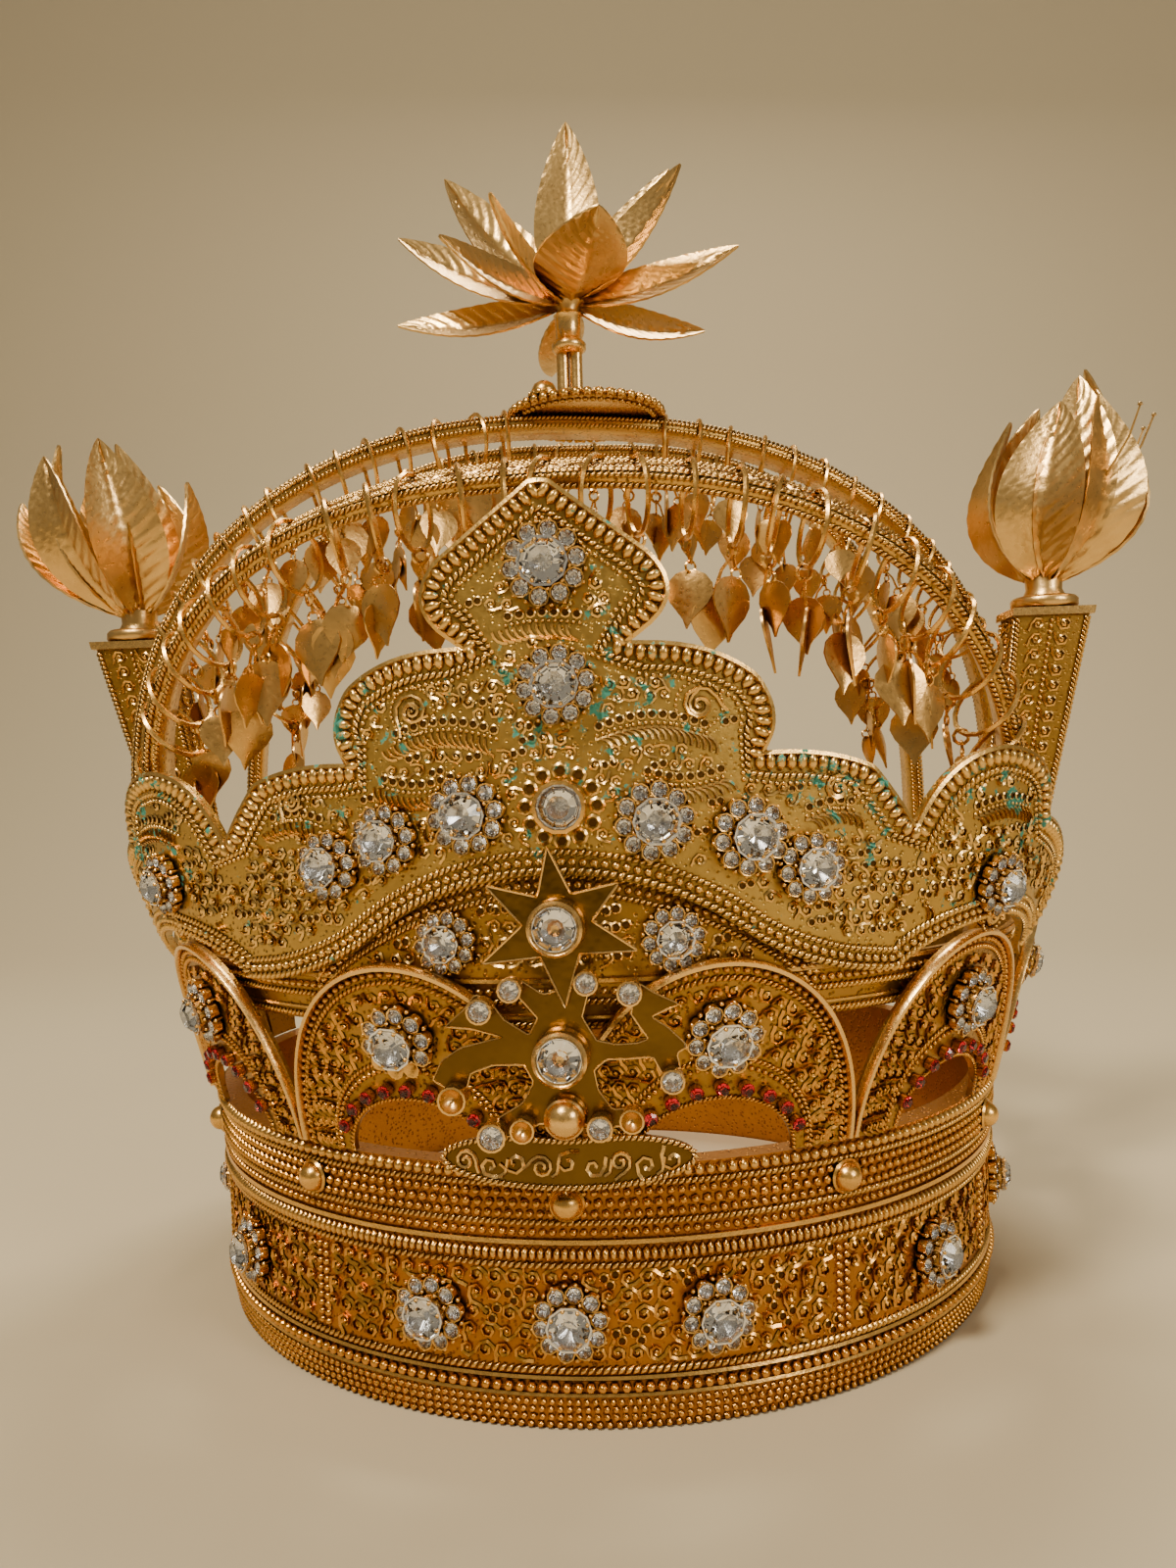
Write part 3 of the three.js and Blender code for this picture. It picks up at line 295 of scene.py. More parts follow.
def curl(turns=1.5, points=15, tail=0.9):
    """A flat spiral of about unit radius with a short tail."""
    t = np.linspace(0, 1, points)
    r = 1 - 0.8 * t
    a = t * turns * 2 * math.pi
    path = np.stack([r * np.cos(a), r * np.sin(a)], -1)
    lead = np.array([[1.0 + tail * 0.25, -tail * 1.1], [1.05, -tail * 0.5]])
    return np.concatenate([lead, path])


LARGE_CURL = curl()
CURL = curl(1.35, 9)
SHORT_CURL = curl(1.1, 8, 0.7)


def scroll(pile, wrap, x, z, size, turn, flip, radius=0.36, shape=CURL, rise=0.6, eye=True):
    path = shape * size * np.array([flip, 1])
    c, s = math.cos(turn), math.sin(turn)
    path = path @ np.array([[c, s], [-s, c]]) + np.array([x, z])
    p = wrap(path[:, 0], path[:, 1], 0)
    n = normals(wrap, path[:, 0], path[:, 1])
    pile.tube(p + n * radius * rise, radius, 5 if shape is LARGE_CURL else 3, n)
    if eye:
        q, along, n = spot(wrap, x, z)
        pile.stamp(STRAND, q + n * 0.1, along, n, radius * 1.4)


def arc_template(points=5):
    """A quarter of a unit ring as a fine wire."""
    pile = Pile()
    a = np.linspace(0, math.pi / 2, points)
    pile.tube(np.stack([np.cos(a), np.sin(a) - 0.5, 0 * a], -1), 0.14, 3)
    return pile.template()


ARC = arc_template()
# Flat disc laid inside each tiny ring as painted shade for its hollow.
PAINTED_SHADE_DISC = turned([(0.62, -0.1), (0.62, 0.1)], 6)


def comb(pile, wrap, path, length, step, flip=1):
    """Curved strokes side by side across a path."""
    at, way = resample(path, step)
    p, along, n = lay(wrap, at, way)
    pile.stamp(ARC, p + n * 0.12, along * flip, n, (length, length, length))


def scroll_row(pile, wrap, path, size, step, closed=False, radius=0.34, shape=CURL, both=True):
    """Scrolls along a path that turn left and right by turns."""
    at, way = resample(path, step, closed)
    for k, (p, w) in enumerate(zip(at, way)):
        turn = math.atan2(w[1], w[0]) + rng.uniform(-0.2, 0.2)
        flip = 1 if k % 2 else -1
        scroll(pile, wrap, *p, size, turn + (math.pi if flip > 0 and both else 0), flip, radius, shape)


# Discs of painted shade from all the tiny rings, gathered into one mesh.
PAINTED_SHADE_DISCS = Pile()


def rings(pile, wrap, points, radius):
    """Tiny rings, each round a dark disc of painted shade that stands for its hollow."""
    points = np.asarray(points, float).reshape(-1, 2)
    p, along, n = lay(wrap, points, np.tile([1.0, 0.0], (len(points), 1)))
    pile.stamp(RING, p + n * 0.15, along, n, radius)
    PAINTED_SHADE_DISCS.stamp(PAINTED_SHADE_DISC, p, along, n, (radius, radius, 1))


def garland(pile, wrap, path, size=1.0, flip=1):
    """A row of grains with tiny rings over it and curved strokes under it."""
    path = np.asarray(path, float)
    beads(pile, wrap, path, 0.42 * size, 1.1 * size, template=GRAIN)
    at, _ = resample(path + [0, 1.5 * size], 1.9 * size)
    rings(pile, wrap, at, 0.78 * size)
    comb(pile, wrap, path - [0, 1.9 * size], 2.4 * size, 1.25 * size, flip)


def inside(outline, points):
    """Which points lie in a closed flat outline."""
    x, y = points[:, 0], points[:, 1]
    hit = np.zeros(len(points), bool)
    for (x1, y1), (x2, y2) in zip(outline, np.roll(outline, -1, 0)):
        cross = (y1 > y) != (y2 > y)
        hit ^= cross & (x < (x2 - x1) * (y - y1) / (y2 - y1 + 1e-12) + x1)
    return hit


def clear_of(outline, points):
    """Distance from points to a closed outline."""
    a = outline[None]
    b = np.roll(outline, -1, 0)[None]
    p = points[:, None]
    t = np.clip(((p - a) * (b - a)).sum(-1) / np.maximum(((b - a) ** 2).sum(-1), 1e-9), 0, 1)
    return np.linalg.norm(p - a - (b - a) * t[..., None], axis=-1).min(1)


def field_points(outline, cell, margin, keep_off=()):
    """Offset rows of points inside an outline, clear of its edge and of stones (x, z, radius)."""
    low, high = outline.min(0), outline.max(0)
    rows = []
    for k, z in enumerate(np.arange(low[1], high[1], cell * 0.87)):
        xs = np.arange(low[0] + (k % 2) * cell / 2, high[0], cell)
        rows.append(np.stack([xs, np.full(len(xs), z)], -1))
    points = np.concatenate(rows)
    points += np.array([[rng.uniform(-0.12, 0.12) * cell, rng.uniform(-0.12, 0.12) * cell] for _ in points])
    points = points[inside(outline, points)]
    points = points[clear_of(outline, points) > margin]
    for x, z, r in keep_off:
        points = points[np.hypot(points[:, 0] - x, points[:, 1] - z) > r]
    return points


def fill(pile, wrap, outline, cell, margin, keep_off=(), radius=0.34, ring_share=0.25):
    """Filigree over a field: scrolls, with rings among them."""
    for x, z in field_points(outline, cell, margin, keep_off):
        if rng.random() < ring_share:
            rings(pile, wrap, [(x - cell * 0.28, z), (x + cell * 0.27, z + cell * 0.12)], cell * 0.26)
        else:
            scroll(pile, wrap, x, z, cell * 0.46, rng.uniform(0, 2 * math.pi), rng.choice((-1, 1)), radius)


def sheet(pile, wrap, outline, thickness, cell=3.0, holes=()):
    """A closed sheet cut to an outline and laid on a surface, its outer face at h = 0."""
    outlines = [resample(o, cell, True)[0] for o in (outline, *holes)]
    extra = field_points(np.asarray(outline), cell, cell * 0.5)
    for hole in outlines[1:]:
        extra = extra[~inside(hole, extra)]
        extra = extra[clear_of(hole, extra) > cell * 0.4]
    points, edges = [], []
    for o in outlines:
        start = len(points)
        points += [Vector(p) for p in o]
        edges += [(start + i, start + (i + 1) % len(o)) for i in range(len(o))]
    points += [Vector(p) for p in extra]
    verts, _, faces, *_ = delaunay_2d_cdt(points, edges, [], 0, 1e-5)
    flat = np.array([tuple(v) for v in verts])
    tris = np.array(faces)
    middle = flat[tris].mean(1)
    keep = inside(outlines[0], middle)
    for hole in outlines[1:]:
        keep &= ~inside(hole, middle)
    tris = tris[keep]
    area = np.cross(flat[tris[:, 1]] - flat[tris[:, 0]], flat[tris[:, 2]] - flat[tris[:, 0]])
    tris[area < 0] = tris[area < 0][:, ::-1]
    directed = np.concatenate([tris[:, [0, 1]], tris[:, [1, 2]], tris[:, [2, 0]]])
    pairs = {tuple(e) for e in directed.tolist()}
    rim = np.array([e for e in pairs if (e[1], e[0]) not in pairs])
    size = len(flat)
    wall = np.concatenate([np.stack([rim[:, 0], rim[:, 0] + size, rim[:, 1] + size], -1),
                           np.stack([rim[:, 0], rim[:, 1] + size, rim[:, 1]], -1)])
    pile.add(np.concatenate([wrap(flat[:, 0], flat[:, 1], 0), wrap(flat[:, 0], flat[:, 1], -thickness)]),
             np.concatenate([tris, tris[:, ::-1] + size, wall]))


def lathe_ring(pile, profile, steps=264):
    """A closed ring round the crown from a closed profile of (radius, height)."""
    az = np.arange(steps) * 360 / steps
    rings_of = [[around(a, r, z) for r, z in profile] for a in az]
    pile.loft(np.array(rings_of), closed=True)


# Materials

def make_node(tree, kind, **values):
    node = tree.nodes.new(kind)
    for key, value in values.items():
        if key in node.inputs:
            node.inputs[key].default_value = value
        else:
            setattr(node, key, value)
    return node


def join(tree, socket, value):
    """Link a socket's output to an input, or set the input to a plain value."""
    if isinstance(value, bpy.types.NodeSocket):
        tree.links.new(value, socket)
    else:
        socket.default_value = (*value, 1) if isinstance(value, tuple) else value


def ramp(tree, value, low, high, to_low=0.0, to_high=1.0):
    """Map the range low to high onto to_low to to_high, held at its ends."""
    node = make_node(tree, "ShaderNodeMapRange")
    for key, number in (("From Min", low), ("From Max", high), ("To Min", to_low), ("To Max", to_high)):
        node.inputs[key].default_value = number
    join(tree, node.inputs["Value"], value)
    return node.outputs["Result"]


def mix(tree, share, a, b):
    node = make_node(tree, "ShaderNodeMix", data_type="RGBA")
    for socket, value in zip((node.inputs[0], node.inputs[6], node.inputs[7]), (share, a, b)):
        join(tree, socket, value)
    return node.outputs[2]


def calc(tree, operation, a, b):
    node = make_node(tree, "ShaderNodeMath", operation=operation)
    join(tree, node.inputs[0], a)
    join(tree, node.inputs[1], b)
    return node.outputs[0]


def between(bright, shade_and_wear_colour, share):
    return tuple(share * b + (1 - share) * d for b, d in zip(bright, shade_and_wear_colour))


def metal(name, bright, shade_and_wear_colour, rough=0.28, hollow=0.0016, patina=(), grain=900, bump=0.25, streak=0.35,
          lace=0):
    """Worn gilt metal: uneven colour, painted shade darkening its recesses, fine pitting, a net of fine wires
    with lace cells to the metre and painted shade in their middles, and green specks round the places in
    patina (x, y, z, reach in mm)."""
    mat = bpy.data.materials.new(name)
    mat.use_nodes = True
    tree = mat.node_tree
    link = tree.links.new
    shader = tree.nodes["Principled BSDF"]
    shader.inputs["Metallic"].default_value = 1.0
    where = make_node(tree, "ShaderNodeTexCoord").outputs["Object"]

    def noise(scale, detail, roughness):
        node = make_node(tree, "ShaderNodeTexNoise", Scale=float(scale), Detail=detail, Roughness=roughness)
        link(where, node.inputs["Vector"])
        return node.outputs["Fac"]

    fine = noise(grain, 3.0, 0.6)
    wear = calc(tree, "MULTIPLY", ramp(tree, noise(55, 5.0, 0.62), 0.36, 0.66), streak)
    colour = mix(tree, wear, bright, between(bright, shade_and_wear_colour, 0.55))
    relief = make_node(tree, "ShaderNodeBump", Strength=bump, Distance=0.0003)
    link(fine, relief.inputs["Height"])
    if lace:
        cells = make_node(tree, "ShaderNodeTexVoronoi", Scale=float(lace))
        link(where, cells.inputs["Vector"])
        net = ramp(tree, cells.outputs["Distance"], 0.16, 0.36)
        # Painted shade: the middles of the lace cells, the hollows between its raised wires, are darkened;
        # the wires' relief comes from the bump below.
        colour = mix(tree, net, between(bright, shade_and_wear_colour, 0.4), colour)
        wires = make_node(tree, "ShaderNodeBump", Strength=0.5, Distance=0.0003)
        link(net, wires.inputs["Height"])
        link(wires.outputs["Normal"], relief.inputs["Normal"])
    # Painted shade: ambient occlusion darkens recesses and creases towards the dark colour.
    painted_shade_ao = make_node(tree, "ShaderNodeAmbientOcclusion", samples=6, Distance=hollow)
    colour = mix(tree, ramp(tree, painted_shade_ao.outputs["AO"], 0.25, 0.85), shade_and_wear_colour, colour)
    roughness = ramp(tree, fine, 0.0, 1.0, rough * 0.65, rough * 1.6)
    if patina:
        near = 0.0
        for x, y, z, reach in patina:
            away = make_node(tree, "ShaderNodeVectorMath", operation="DISTANCE")
            away.inputs[1].default_value = (x * MM + AXIS_X, y * MM + AXIS_Y, z * MM)
            link(where, away.inputs[0])
            near = calc(tree, "MAXIMUM", near, ramp(tree, away.outputs["Value"], 0.0, reach * MM, 0.13, 0.0))
        green = ramp(tree, calc(tree, "ADD", noise(330, 4.0, 0.65), near), 0.66, 0.7)
        colour = mix(tree, green, colour, VERDIGRIS)
        dull = make_node(tree, "ShaderNodeMix")
        for socket, value in zip((dull.inputs[0], dull.inputs[2], dull.inputs[3]), (green, roughness, 0.8)):
            join(tree, socket, value)
        roughness = dull.outputs[0]
        link(calc(tree, "SUBTRACT", 1.0, green), shader.inputs["Metallic"])
    link(colour, shader.inputs["Base Color"])
    link(roughness, shader.inputs["Roughness"])
    link(relief.outputs["Normal"], shader.inputs["Normal"])
    return mat


def glass(name, colour, ior):
    mat = bpy.data.materials.new(name)
    mat.use_nodes = True
    shader = mat.node_tree.nodes["Principled BSDF"]
    shader.inputs["Base Color"].default_value = (*colour, 1)
    shader.inputs["Roughness"].default_value = 0.02
    shader.inputs["IOR"].default_value = ior
    shader.inputs["Transmission Weight"].default_value = 1.0
    return mat


VERDIGRIS = (0.06, 0.3, 0.22)
GREEN_PLACES = [(6, -107, 132, 30), (-40, -103, 132, 26), (50, -98, 122, 26), (-84, -68, 112, 28),
                (86, -68, 112, 30)]
GOLD = metal("filigree_gold", (0.95, 0.55, 0.15), (0.15, 0.045, 0.006), rough=0.25)
PLATE_GOLD = metal("plate_gold", (0.97, 0.6, 0.18), (0.17, 0.06, 0.008), rough=0.25, patina=GREEN_PLACES)
AMBER = metal("amber_gold", (0.86, 0.42, 0.08), (0.13, 0.03, 0.004), rough=0.25)
FIELD = metal("field_gold", (0.46, 0.25, 0.05), (0.1, 0.035, 0.005), rough=0.33, lace=850)
STRIP = metal("strip_gold", (0.84, 0.5, 0.13), (0.14, 0.05, 0.008), rough=0.28, lace=850)
PLATE_FIELD = metal("plate_field", (0.62, 0.39, 0.095), (0.11, 0.045, 0.007), rough=0.33, lace=850,
                    patina=GREEN_PLACES)
WARM = metal("warm_gold", (0.52, 0.22, 0.042), (0.1, 0.022, 0.004), rough=0.3, lace=850)
BRIGHT = metal("bright_gold", (1.0, 0.64, 0.23), (0.4, 0.17, 0.035), rough=0.24, streak=0.5)
PETAL = metal("petal_gold", (0.95, 0.62, 0.23), (0.3, 0.13, 0.03), rough=0.28, streak=0.7, hollow=0.003)
LEAF = metal("leaf_gold", (0.86, 0.52, 0.17), (0.26, 0.1, 0.02), rough=0.27, streak=0.8)
OLIVE = metal("olive_gold", (0.19, 0.105, 0.021), (0.05, 0.022, 0.005), rough=0.2, streak=0.8, grain=110,
              bump=1.0)
# Painted shade: near-black metal for the discs inside the tiny rings.
PAINTED_SHADE_METAL = metal("painted_shade_pit_metal", (0.13, 0.06, 0.015), (0.04, 0.015, 0.004), rough=0.6)
SILVER = metal("foil", (1.0, 1.0, 1.0), (0.72, 0.73, 0.76), rough=0.22, hollow=0.0004, bump=0.3, streak=0.1)
CLEAR = glass("clear_glass", (0.99, 0.995, 1.0), 1.5)
RED = glass("red_glass", (0.95, 0.03, 0.05), 1.5)


class Settings:
    """Stones and what holds them, for one part of the crown."""

    def __init__(self):
        self.gold, self.foil, self.stones = Pile(), Pile(), Pile()

    def stone(self, at, x_way, n, radius, collet=True, empty=False, lift=0.0):
        p = at + n * (radius * 1.05 + lift)
        cup, foil, gem = (COLLET, FOIL, GEM) if radius > 2.2 else (SMALL_COLLET, SMALL_FOIL, SMALL_GEM)
        if collet:
            self.gold.stamp(cup, p, x_way, n, radius)
        if not empty:
            self.foil.stamp(foil, p, x_way, n, radius)
            self.stones.stamp(gem, p, x_way, n, radius)

    def rosette(self, at, n, radius=6.9, petals=10, missing=()):
        """A centre stone in a ring of small stones held by prongs with tiny balls."""
        n = unit(np.asarray(n, float))
        x_way = unit(np.cross([0, 0, 1.0], n))
        y_way = np.cross(n, x_way)
        core = radius * 0.54
        self.stone(at, x_way, n, core, collet=False, lift=0.5)
        self.gold.stamp(COLLET, at + n * (core * 0.8), x_way, n, core * 0.78)
        for a in np.arange(8) * math.pi / 4 + 0.3:
            claw = x_way * math.cos(a) + y_way * math.sin(a)
            top = at + claw * core * 0.96 + n * (core * 1.05 + 0.75)
            self.gold.tube([at + claw * core * 1.02, top], 0.3, 4, y_way)
            self.gold.stamp(BEAD, top, x_way, n, 0.42)
        small = radius * 0.215
        for k in range(petals):
            a = 2 * math.pi * k / petals + 0.15
            way = x_way * math.cos(a) + y_way * math.sin(a)
            self.stone(at + way * radius * 0.8, x_way, n, small, lift=0.55, empty=k in missing)
            a += math.pi / petals
            prong = x_way * math.cos(a) + y_way * math.sin(a)
            for reach, height, size in ((0.63, 3.0, 0.42), (1.0, 1.6, 0.48)):
                q = at + prong * radius * reach + n * height
                self.gold.stamp(BEAD, q, x_way, n, size)
                self.gold.tube([at + prong * radius * reach * 0.94, q], 0.28, 4, way)
            tip = at + way * radius * 1.05 + n * 1.9
            self.gold.stamp(BEAD, tip, x_way, n, 0.42)

    def finish(self, name, gold=GOLD):
        self.gold.piece(name + "_settings", gold, "gold")
        if self.foil.count:
            self.foil.piece(name + "_foils", SILVER, "gold", smooth=False)
            self.stones.piece(name + "_stones", CLEAR, "clear_stone", smooth=False)


def ellipse_arc(half, height, base, points=60):
    t = np.linspace(0, math.pi, points)
    return np.stack([-half * np.cos(t), base + height * np.sin(t)], -1)


# Headband

BAND_INSIDE = 92.5
BAND_TOP = 50.0
BAND_MM = 95.4 * DEG
BAND_WALL = [(0, 94.2), (6.4, 95.6), (11, 95.3), (31, 95.5), (36.4, 96.2), (46.4, 96.9), (50, 97.3)]


def band(x, z, h):
    heights, radii = zip(*BAND_WALL)
    return around(np.asarray(x) / BAND_MM, np.interp(z, heights, radii) + h, z)


def build_headband():
    body, work, grains = Pile(), Pile(), Pile()
    profile = [(BAND_INSIDE, 0.0)] + [(r, z) for z, r in BAND_WALL]
    profile += [(BAND_INSIDE, BAND_TOP), (BAND_INSIDE, BAND_TOP / 2)]
    lathe_ring(body, profile)
    body.piece("headband_wall", WARM, "gold", ["headband"])

    def level(z, lap=0):
        """A line round the band at a height, overlapping itself by lap degrees at each end."""
        return np.array([[a * BAND_MM, z] for a in np.arange(-lap, 361 + lap, 1.0)])

    for z, r in ((0.9, 0.75), (2.5, 0.7), (4.1, 0.7), (5.6, 0.65)):
        beads(grains, band, level(z), r, r * 2.5, template=GRAIN)
    wire(work, band, level(6.9, 1), 0.5, step=3)
    beads(grains, band, level(8.4), 1.0, 2.2, rise=0.5)
    wire(work, band, level(10, 1), 0.55, step=3)
    rope(work, band, level(11.5), 0.7)
    rope(work, band, level(31), 0.65)
    gadroons(work, band, level(33.3), 3.0, 1.5, 1.5)
    wire(work, band, level(35.6, 1), 0.7, step=3)
    beads(grains, band, level(37.5), 0.8, 1.9)
    rope(work, band, level(39.3), 0.6)
    for z, r in ((41, 0.85), (43, 0.95), (45, 0.85)):
        beads(grains, band, level(z), r, r * 2.35, template=GRAIN)
    rope(work, band, level(46.6), 0.6)
    gadroons(work, band, level(48.6), 2.6, 2.1, 1.4)
    seats = Settings()
    for k in range(LUNETTES):
        az = k * PITCH
        for side in (-0.95, 0.95):
            bar = [[az * BAND_MM + side, 12.6], [az * BAND_MM + side, 29.8]]
            beads(grains, band, bar, 0.8, 1.7)
        p, along, n = spot(band, az * BAND_MM, 43.2)
        work.stamp(ball(16, 8, -10), p + n * 0.9, along, n, (2.9, 2.9, 2.9))
        work.stamp(hoop(0.16, 20, 5), p + n * 0.9, along, n, 3.0)
    spots = [0.0] + [(k + 0.5) * PITCH for k in range(LUNETTES)]
    for az in spots:
        p, _, n = spot(band, az * BAND_MM, 21.0)
        seats.rosette(p, n)
    seats.finish("headband")
    frieze = Pile()
    for z in (14.6, 18.2, 21.8, 25.4, 28.6):
        at, _ = resample(level(z), 3.6)
        at = at + np.array([(z % 3) * 1.2, 0])
        for x, zz in at:
            az = x / BAND_MM
            near = min(abs((az - a + 180) % 360 - 180) for a in spots) * BAND_MM
            bar = abs((az + PITCH / 2) % PITCH - PITCH / 2) * BAND_MM
            if math.hypot(near, zz - 21) < 7.4 or bar < 2.6:
                continue
            if rng.random() < 0.14:
                rings(frieze, band, [(x - 1, zz), (x + 1.1, zz + 0.7), (x + 0.1, zz - 1.3)], 0.85)
            else:
                turn = rng.choice((0.5, 1.57, 2.6)) + rng.uniform(-0.3, 0.3)
                scroll(frieze, band, x, zz, 1.75, turn, rng.choice((-1, 1)))
    frieze.piece("headband_frieze", AMBER, "gold")
    work.piece("headband_ropes", GOLD, "gold")
    grains.piece("headband_beads", AMBER, "gold")


build_headband()


# Lunettes

SLOPE = 0.26  # how far the lunettes and the gallery lean out for each mm of height
LUN_R = 98
LUN_MM = LUN_R * DEG
LUN_HALF = (PITCH / 2 - 0.25) * LUN_MM
WINDOW_HALF = 9.0 * LUN_MM
LOST_STONES = (6, 7, 8)


def build_lunettes():
    work, flanges, red = Pile(), Pile(), Pile()
    seats = Settings()
    for k in range(LUNETTES):
        middle = (k + 0.5) * PITCH

        def wrap(x, z, h, middle=middle):
            return around(middle + np.asarray(x) / LUN_MM, LUN_R + SLOPE * (np.asarray(z) - BAND_TOP) + h, z)

        def arc(share):
            """Between the window's edge (0) and the outer edge (1)."""
            inner = ellipse_arc(WINDOW_HALF, 11.8, 50.4)
            outer = ellipse_arc(LUN_HALF, 38.4, 50.4)
            return inner * (1 - share) + outer * share

        plate = Pile()
        shares = np.linspace(0, 1, 9)
        grid = np.array([arc(s) for s in shares])
        plate.grid_shell(wrap(grid[..., 0], grid[..., 1], 0), wrap(grid[..., 0], grid[..., 1], -1.2))
        plate.piece("lunette_sheet_%02d" % (k + 1), FIELD, "gold", ["lunette_%02d" % (k + 1)])
        edge = arc(0.985)
        p, along, n = lay(wrap, *resample(edge, 2.2))
        flanges.tube(p + n * 0.7, 0.75, 6, n, 1.5)
        beads(work, wrap, arc(0.93), 0.75, 1.75)
        rope(work, wrap, arc(0.87), 0.55)
        rope(work, wrap, arc(0.015), 0.45)
        beads(work, wrap, arc(0.24), 0.6, 1.4, template=GRAIN)
        rope(work, wrap, arc(0.3), 0.5)
        rosette_at = np.array([0, 74.5])
        for share, size, step in ((0.4, 1.5, 3.6), (0.53, 1.5, 3.6), (0.66, 1.5, 3.5), (0.77, 1.2, 3.0)):
            at, way = resample(arc(share), step)
            for i, (q, w) in enumerate(zip(at, way)):
                if np.hypot(*(q - rosette_at)) < 7.6 or q[1] < 52:
                    continue
                turn = math.atan2(w[1], w[0])
                flip = 1 if i % 2 else -1
                scroll(work, wrap, q[0], q[1], size, turn + (math.pi if flip > 0 else 0), flip)
        at, way = resample(arc(0.1)[5:-5], 4.4)
        p, along, n = lay(wrap, at, way)
        for q, a, m in zip(p, along, n):
            work.stamp(SMALL_COLLET, q + m * 1.5, a, m, 1.25)
            red.stamp(SMALL_GEM, q + m * 1.75, a, m, 1.4)
        p, _, n = spot(wrap, *rosette_at)
        seats.rosette(p, n, missing=LOST_STONES if k == LUNETTES - 1 else ())
    work.piece("lunette_filigree", AMBER, "gold")
    flanges.piece("lunette_flanges", BRIGHT, "gold")
    red.piece("lunette_red_stones", RED, "red_stone", smooth=False)
    seats.finish("lunettes")


build_lunettes()


# Gallery strip and its front panel

GAL_MM = 104 * DEG
GAL_R = 94.75
GAL_LOW, GAL_HIGH = 76.0, 86.0
PANEL_HALF = 27 * GAL_MM


def gallery(x, z, h):
    return around(np.asarray(x) / GAL_MM, GAL_R + SLOPE * (np.minimum(z, GAL_HIGH) - BAND_TOP) + h, z)


def build_gallery():
    body, work = Pile(), Pile()
    low, high = GAL_R + SLOPE * (GAL_LOW - BAND_TOP), GAL_R + SLOPE * (GAL_HIGH - BAND_TOP)
    lathe_ring(body, [(low - 1.3, GAL_LOW), (low, GAL_LOW), (high, GAL_HIGH), (high - 1.3, GAL_HIGH)], 180)
    share = np.linspace(-1, 1, 41)
    top = np.stack([PANEL_HALF * share, 85 + 20 * np.cos(share * math.pi / 2) ** 0.8], -1)
    outline = np.concatenate([top, [[PANEL_HALF, 78], [-PANEL_HALF, 78]]])
    sheet(body, gallery, outline, 1.2)
    body.piece("gallery_sheet", FIELD, "gold", ["gallery"])
    whole = np.array([[a * GAL_MM, 0] for a in np.arange(0, 361, 1.0)])
    lapped = np.array([[a * GAL_MM, 0] for a in np.arange(-1, 362, 1.0)])
    rope(work, gallery, whole + [0, 77], 0.6)
    wire(work, gallery, lapped + [0, 78.4], 0.4, step=3)
    rope(work, gallery, whole + [0, 81.4], 0.6)
    beads(work, gallery, whole + [0, 83.3], 0.8, 1.9)
    wire(work, gallery, lapped + [0, 85.3], 0.6, step=3)
    rope(work, gallery, top - [0, 0.8], 0.7)
    beads(work, gallery, top - [0, 2.4], 0.8, 1.8)
    rope(work, gallery, top - [0, 4.0], 0.55)
    stones = [(-10.9 * GAL_MM, 92.4), (11.6 * GAL_MM, 92.4)]
    field = np.concatenate([top - [0, 4.4], [[26 * GAL_MM, 86], [-26 * GAL_MM, 86]]])
    fill(work, gallery, field, 3.3, 1.0, [(x, z, 6.2) for x, z in stones], radius=0.3)
    work.piece("gallery_filigree", GOLD, "gold")
    seats = Settings()
    for x, z in stones:
        p, _, n = spot(gallery, x, z)
        seats.rosette(p, n, radius=5.6)
    seats.finish("gallery")


build_gallery()


# Tall front plate

PLATE_MM = 104.46 * DEG
LOBES = [
    ((10.2, 160.5), (4, 169)), ((7.6, 144.8), (14.6, 152)), ((20.4, 138.8), (15.5, 145.8)),
    ((20.7, 125), (23.6, 131)), ((32.4, 122), (27.4, 126)), ((37, 110.3), (35.2, 116)),
    ((48, 125.3), (40.4, 124.6)), ((57, 111), (57.4, 124)), ((66.6, 87.5), (71.5, 104)),
    ((65.6, 79.5), (65, 83)), ((50, 91.6), (58, 92)), ((36, 83.6), (40, 90)),
    ((20, 91.4), (27, 84)), ((0, 104.4), (11, 104.4)),
]
TIP_LOBE = 9


def plate(x, z, h):
    az = np.asarray(x) / PLATE_MM
    rise = np.maximum(0, np.asarray(z) - 82)
    t = np.clip((np.abs(az) - 20) / 40, 0, 1)
    flare = t * t * (3 - 2 * t) * 13 * (1 - np.exp(-rise / 20))
    return around(az, 105.96 + 0.02 * rise + flare + h, z)


def lobe_path(lobes, start, steps=9):
    """Quadratic arcs from lobe to lobe, in mm along the plate and up."""
    points = [start]
    for to, pull in lobes:
        for t in np.linspace(0, 1, steps + 1)[1:]:
            a, b, c = (1 - t) ** 2, 2 * t * (1 - t), t * t
            points.append((a * start[0] + b * pull[0] + c * to[0], a * start[1] + b * pull[1] + c * to[1]))
        start = to
    return np.array(points) * [PLATE_MM, 1]


def offset_path(path, distance, outline):
    """A path moved to its right side, without the points that come too near the outline."""
    way = unit(np.gradient(path, axis=0))
    moved = path + np.stack([way[:, 1], -way[:, 0]], -1) * distance
    return moved[(clear_of(outline, moved) > abs(distance) * 0.8) & inside(outline, moved)]


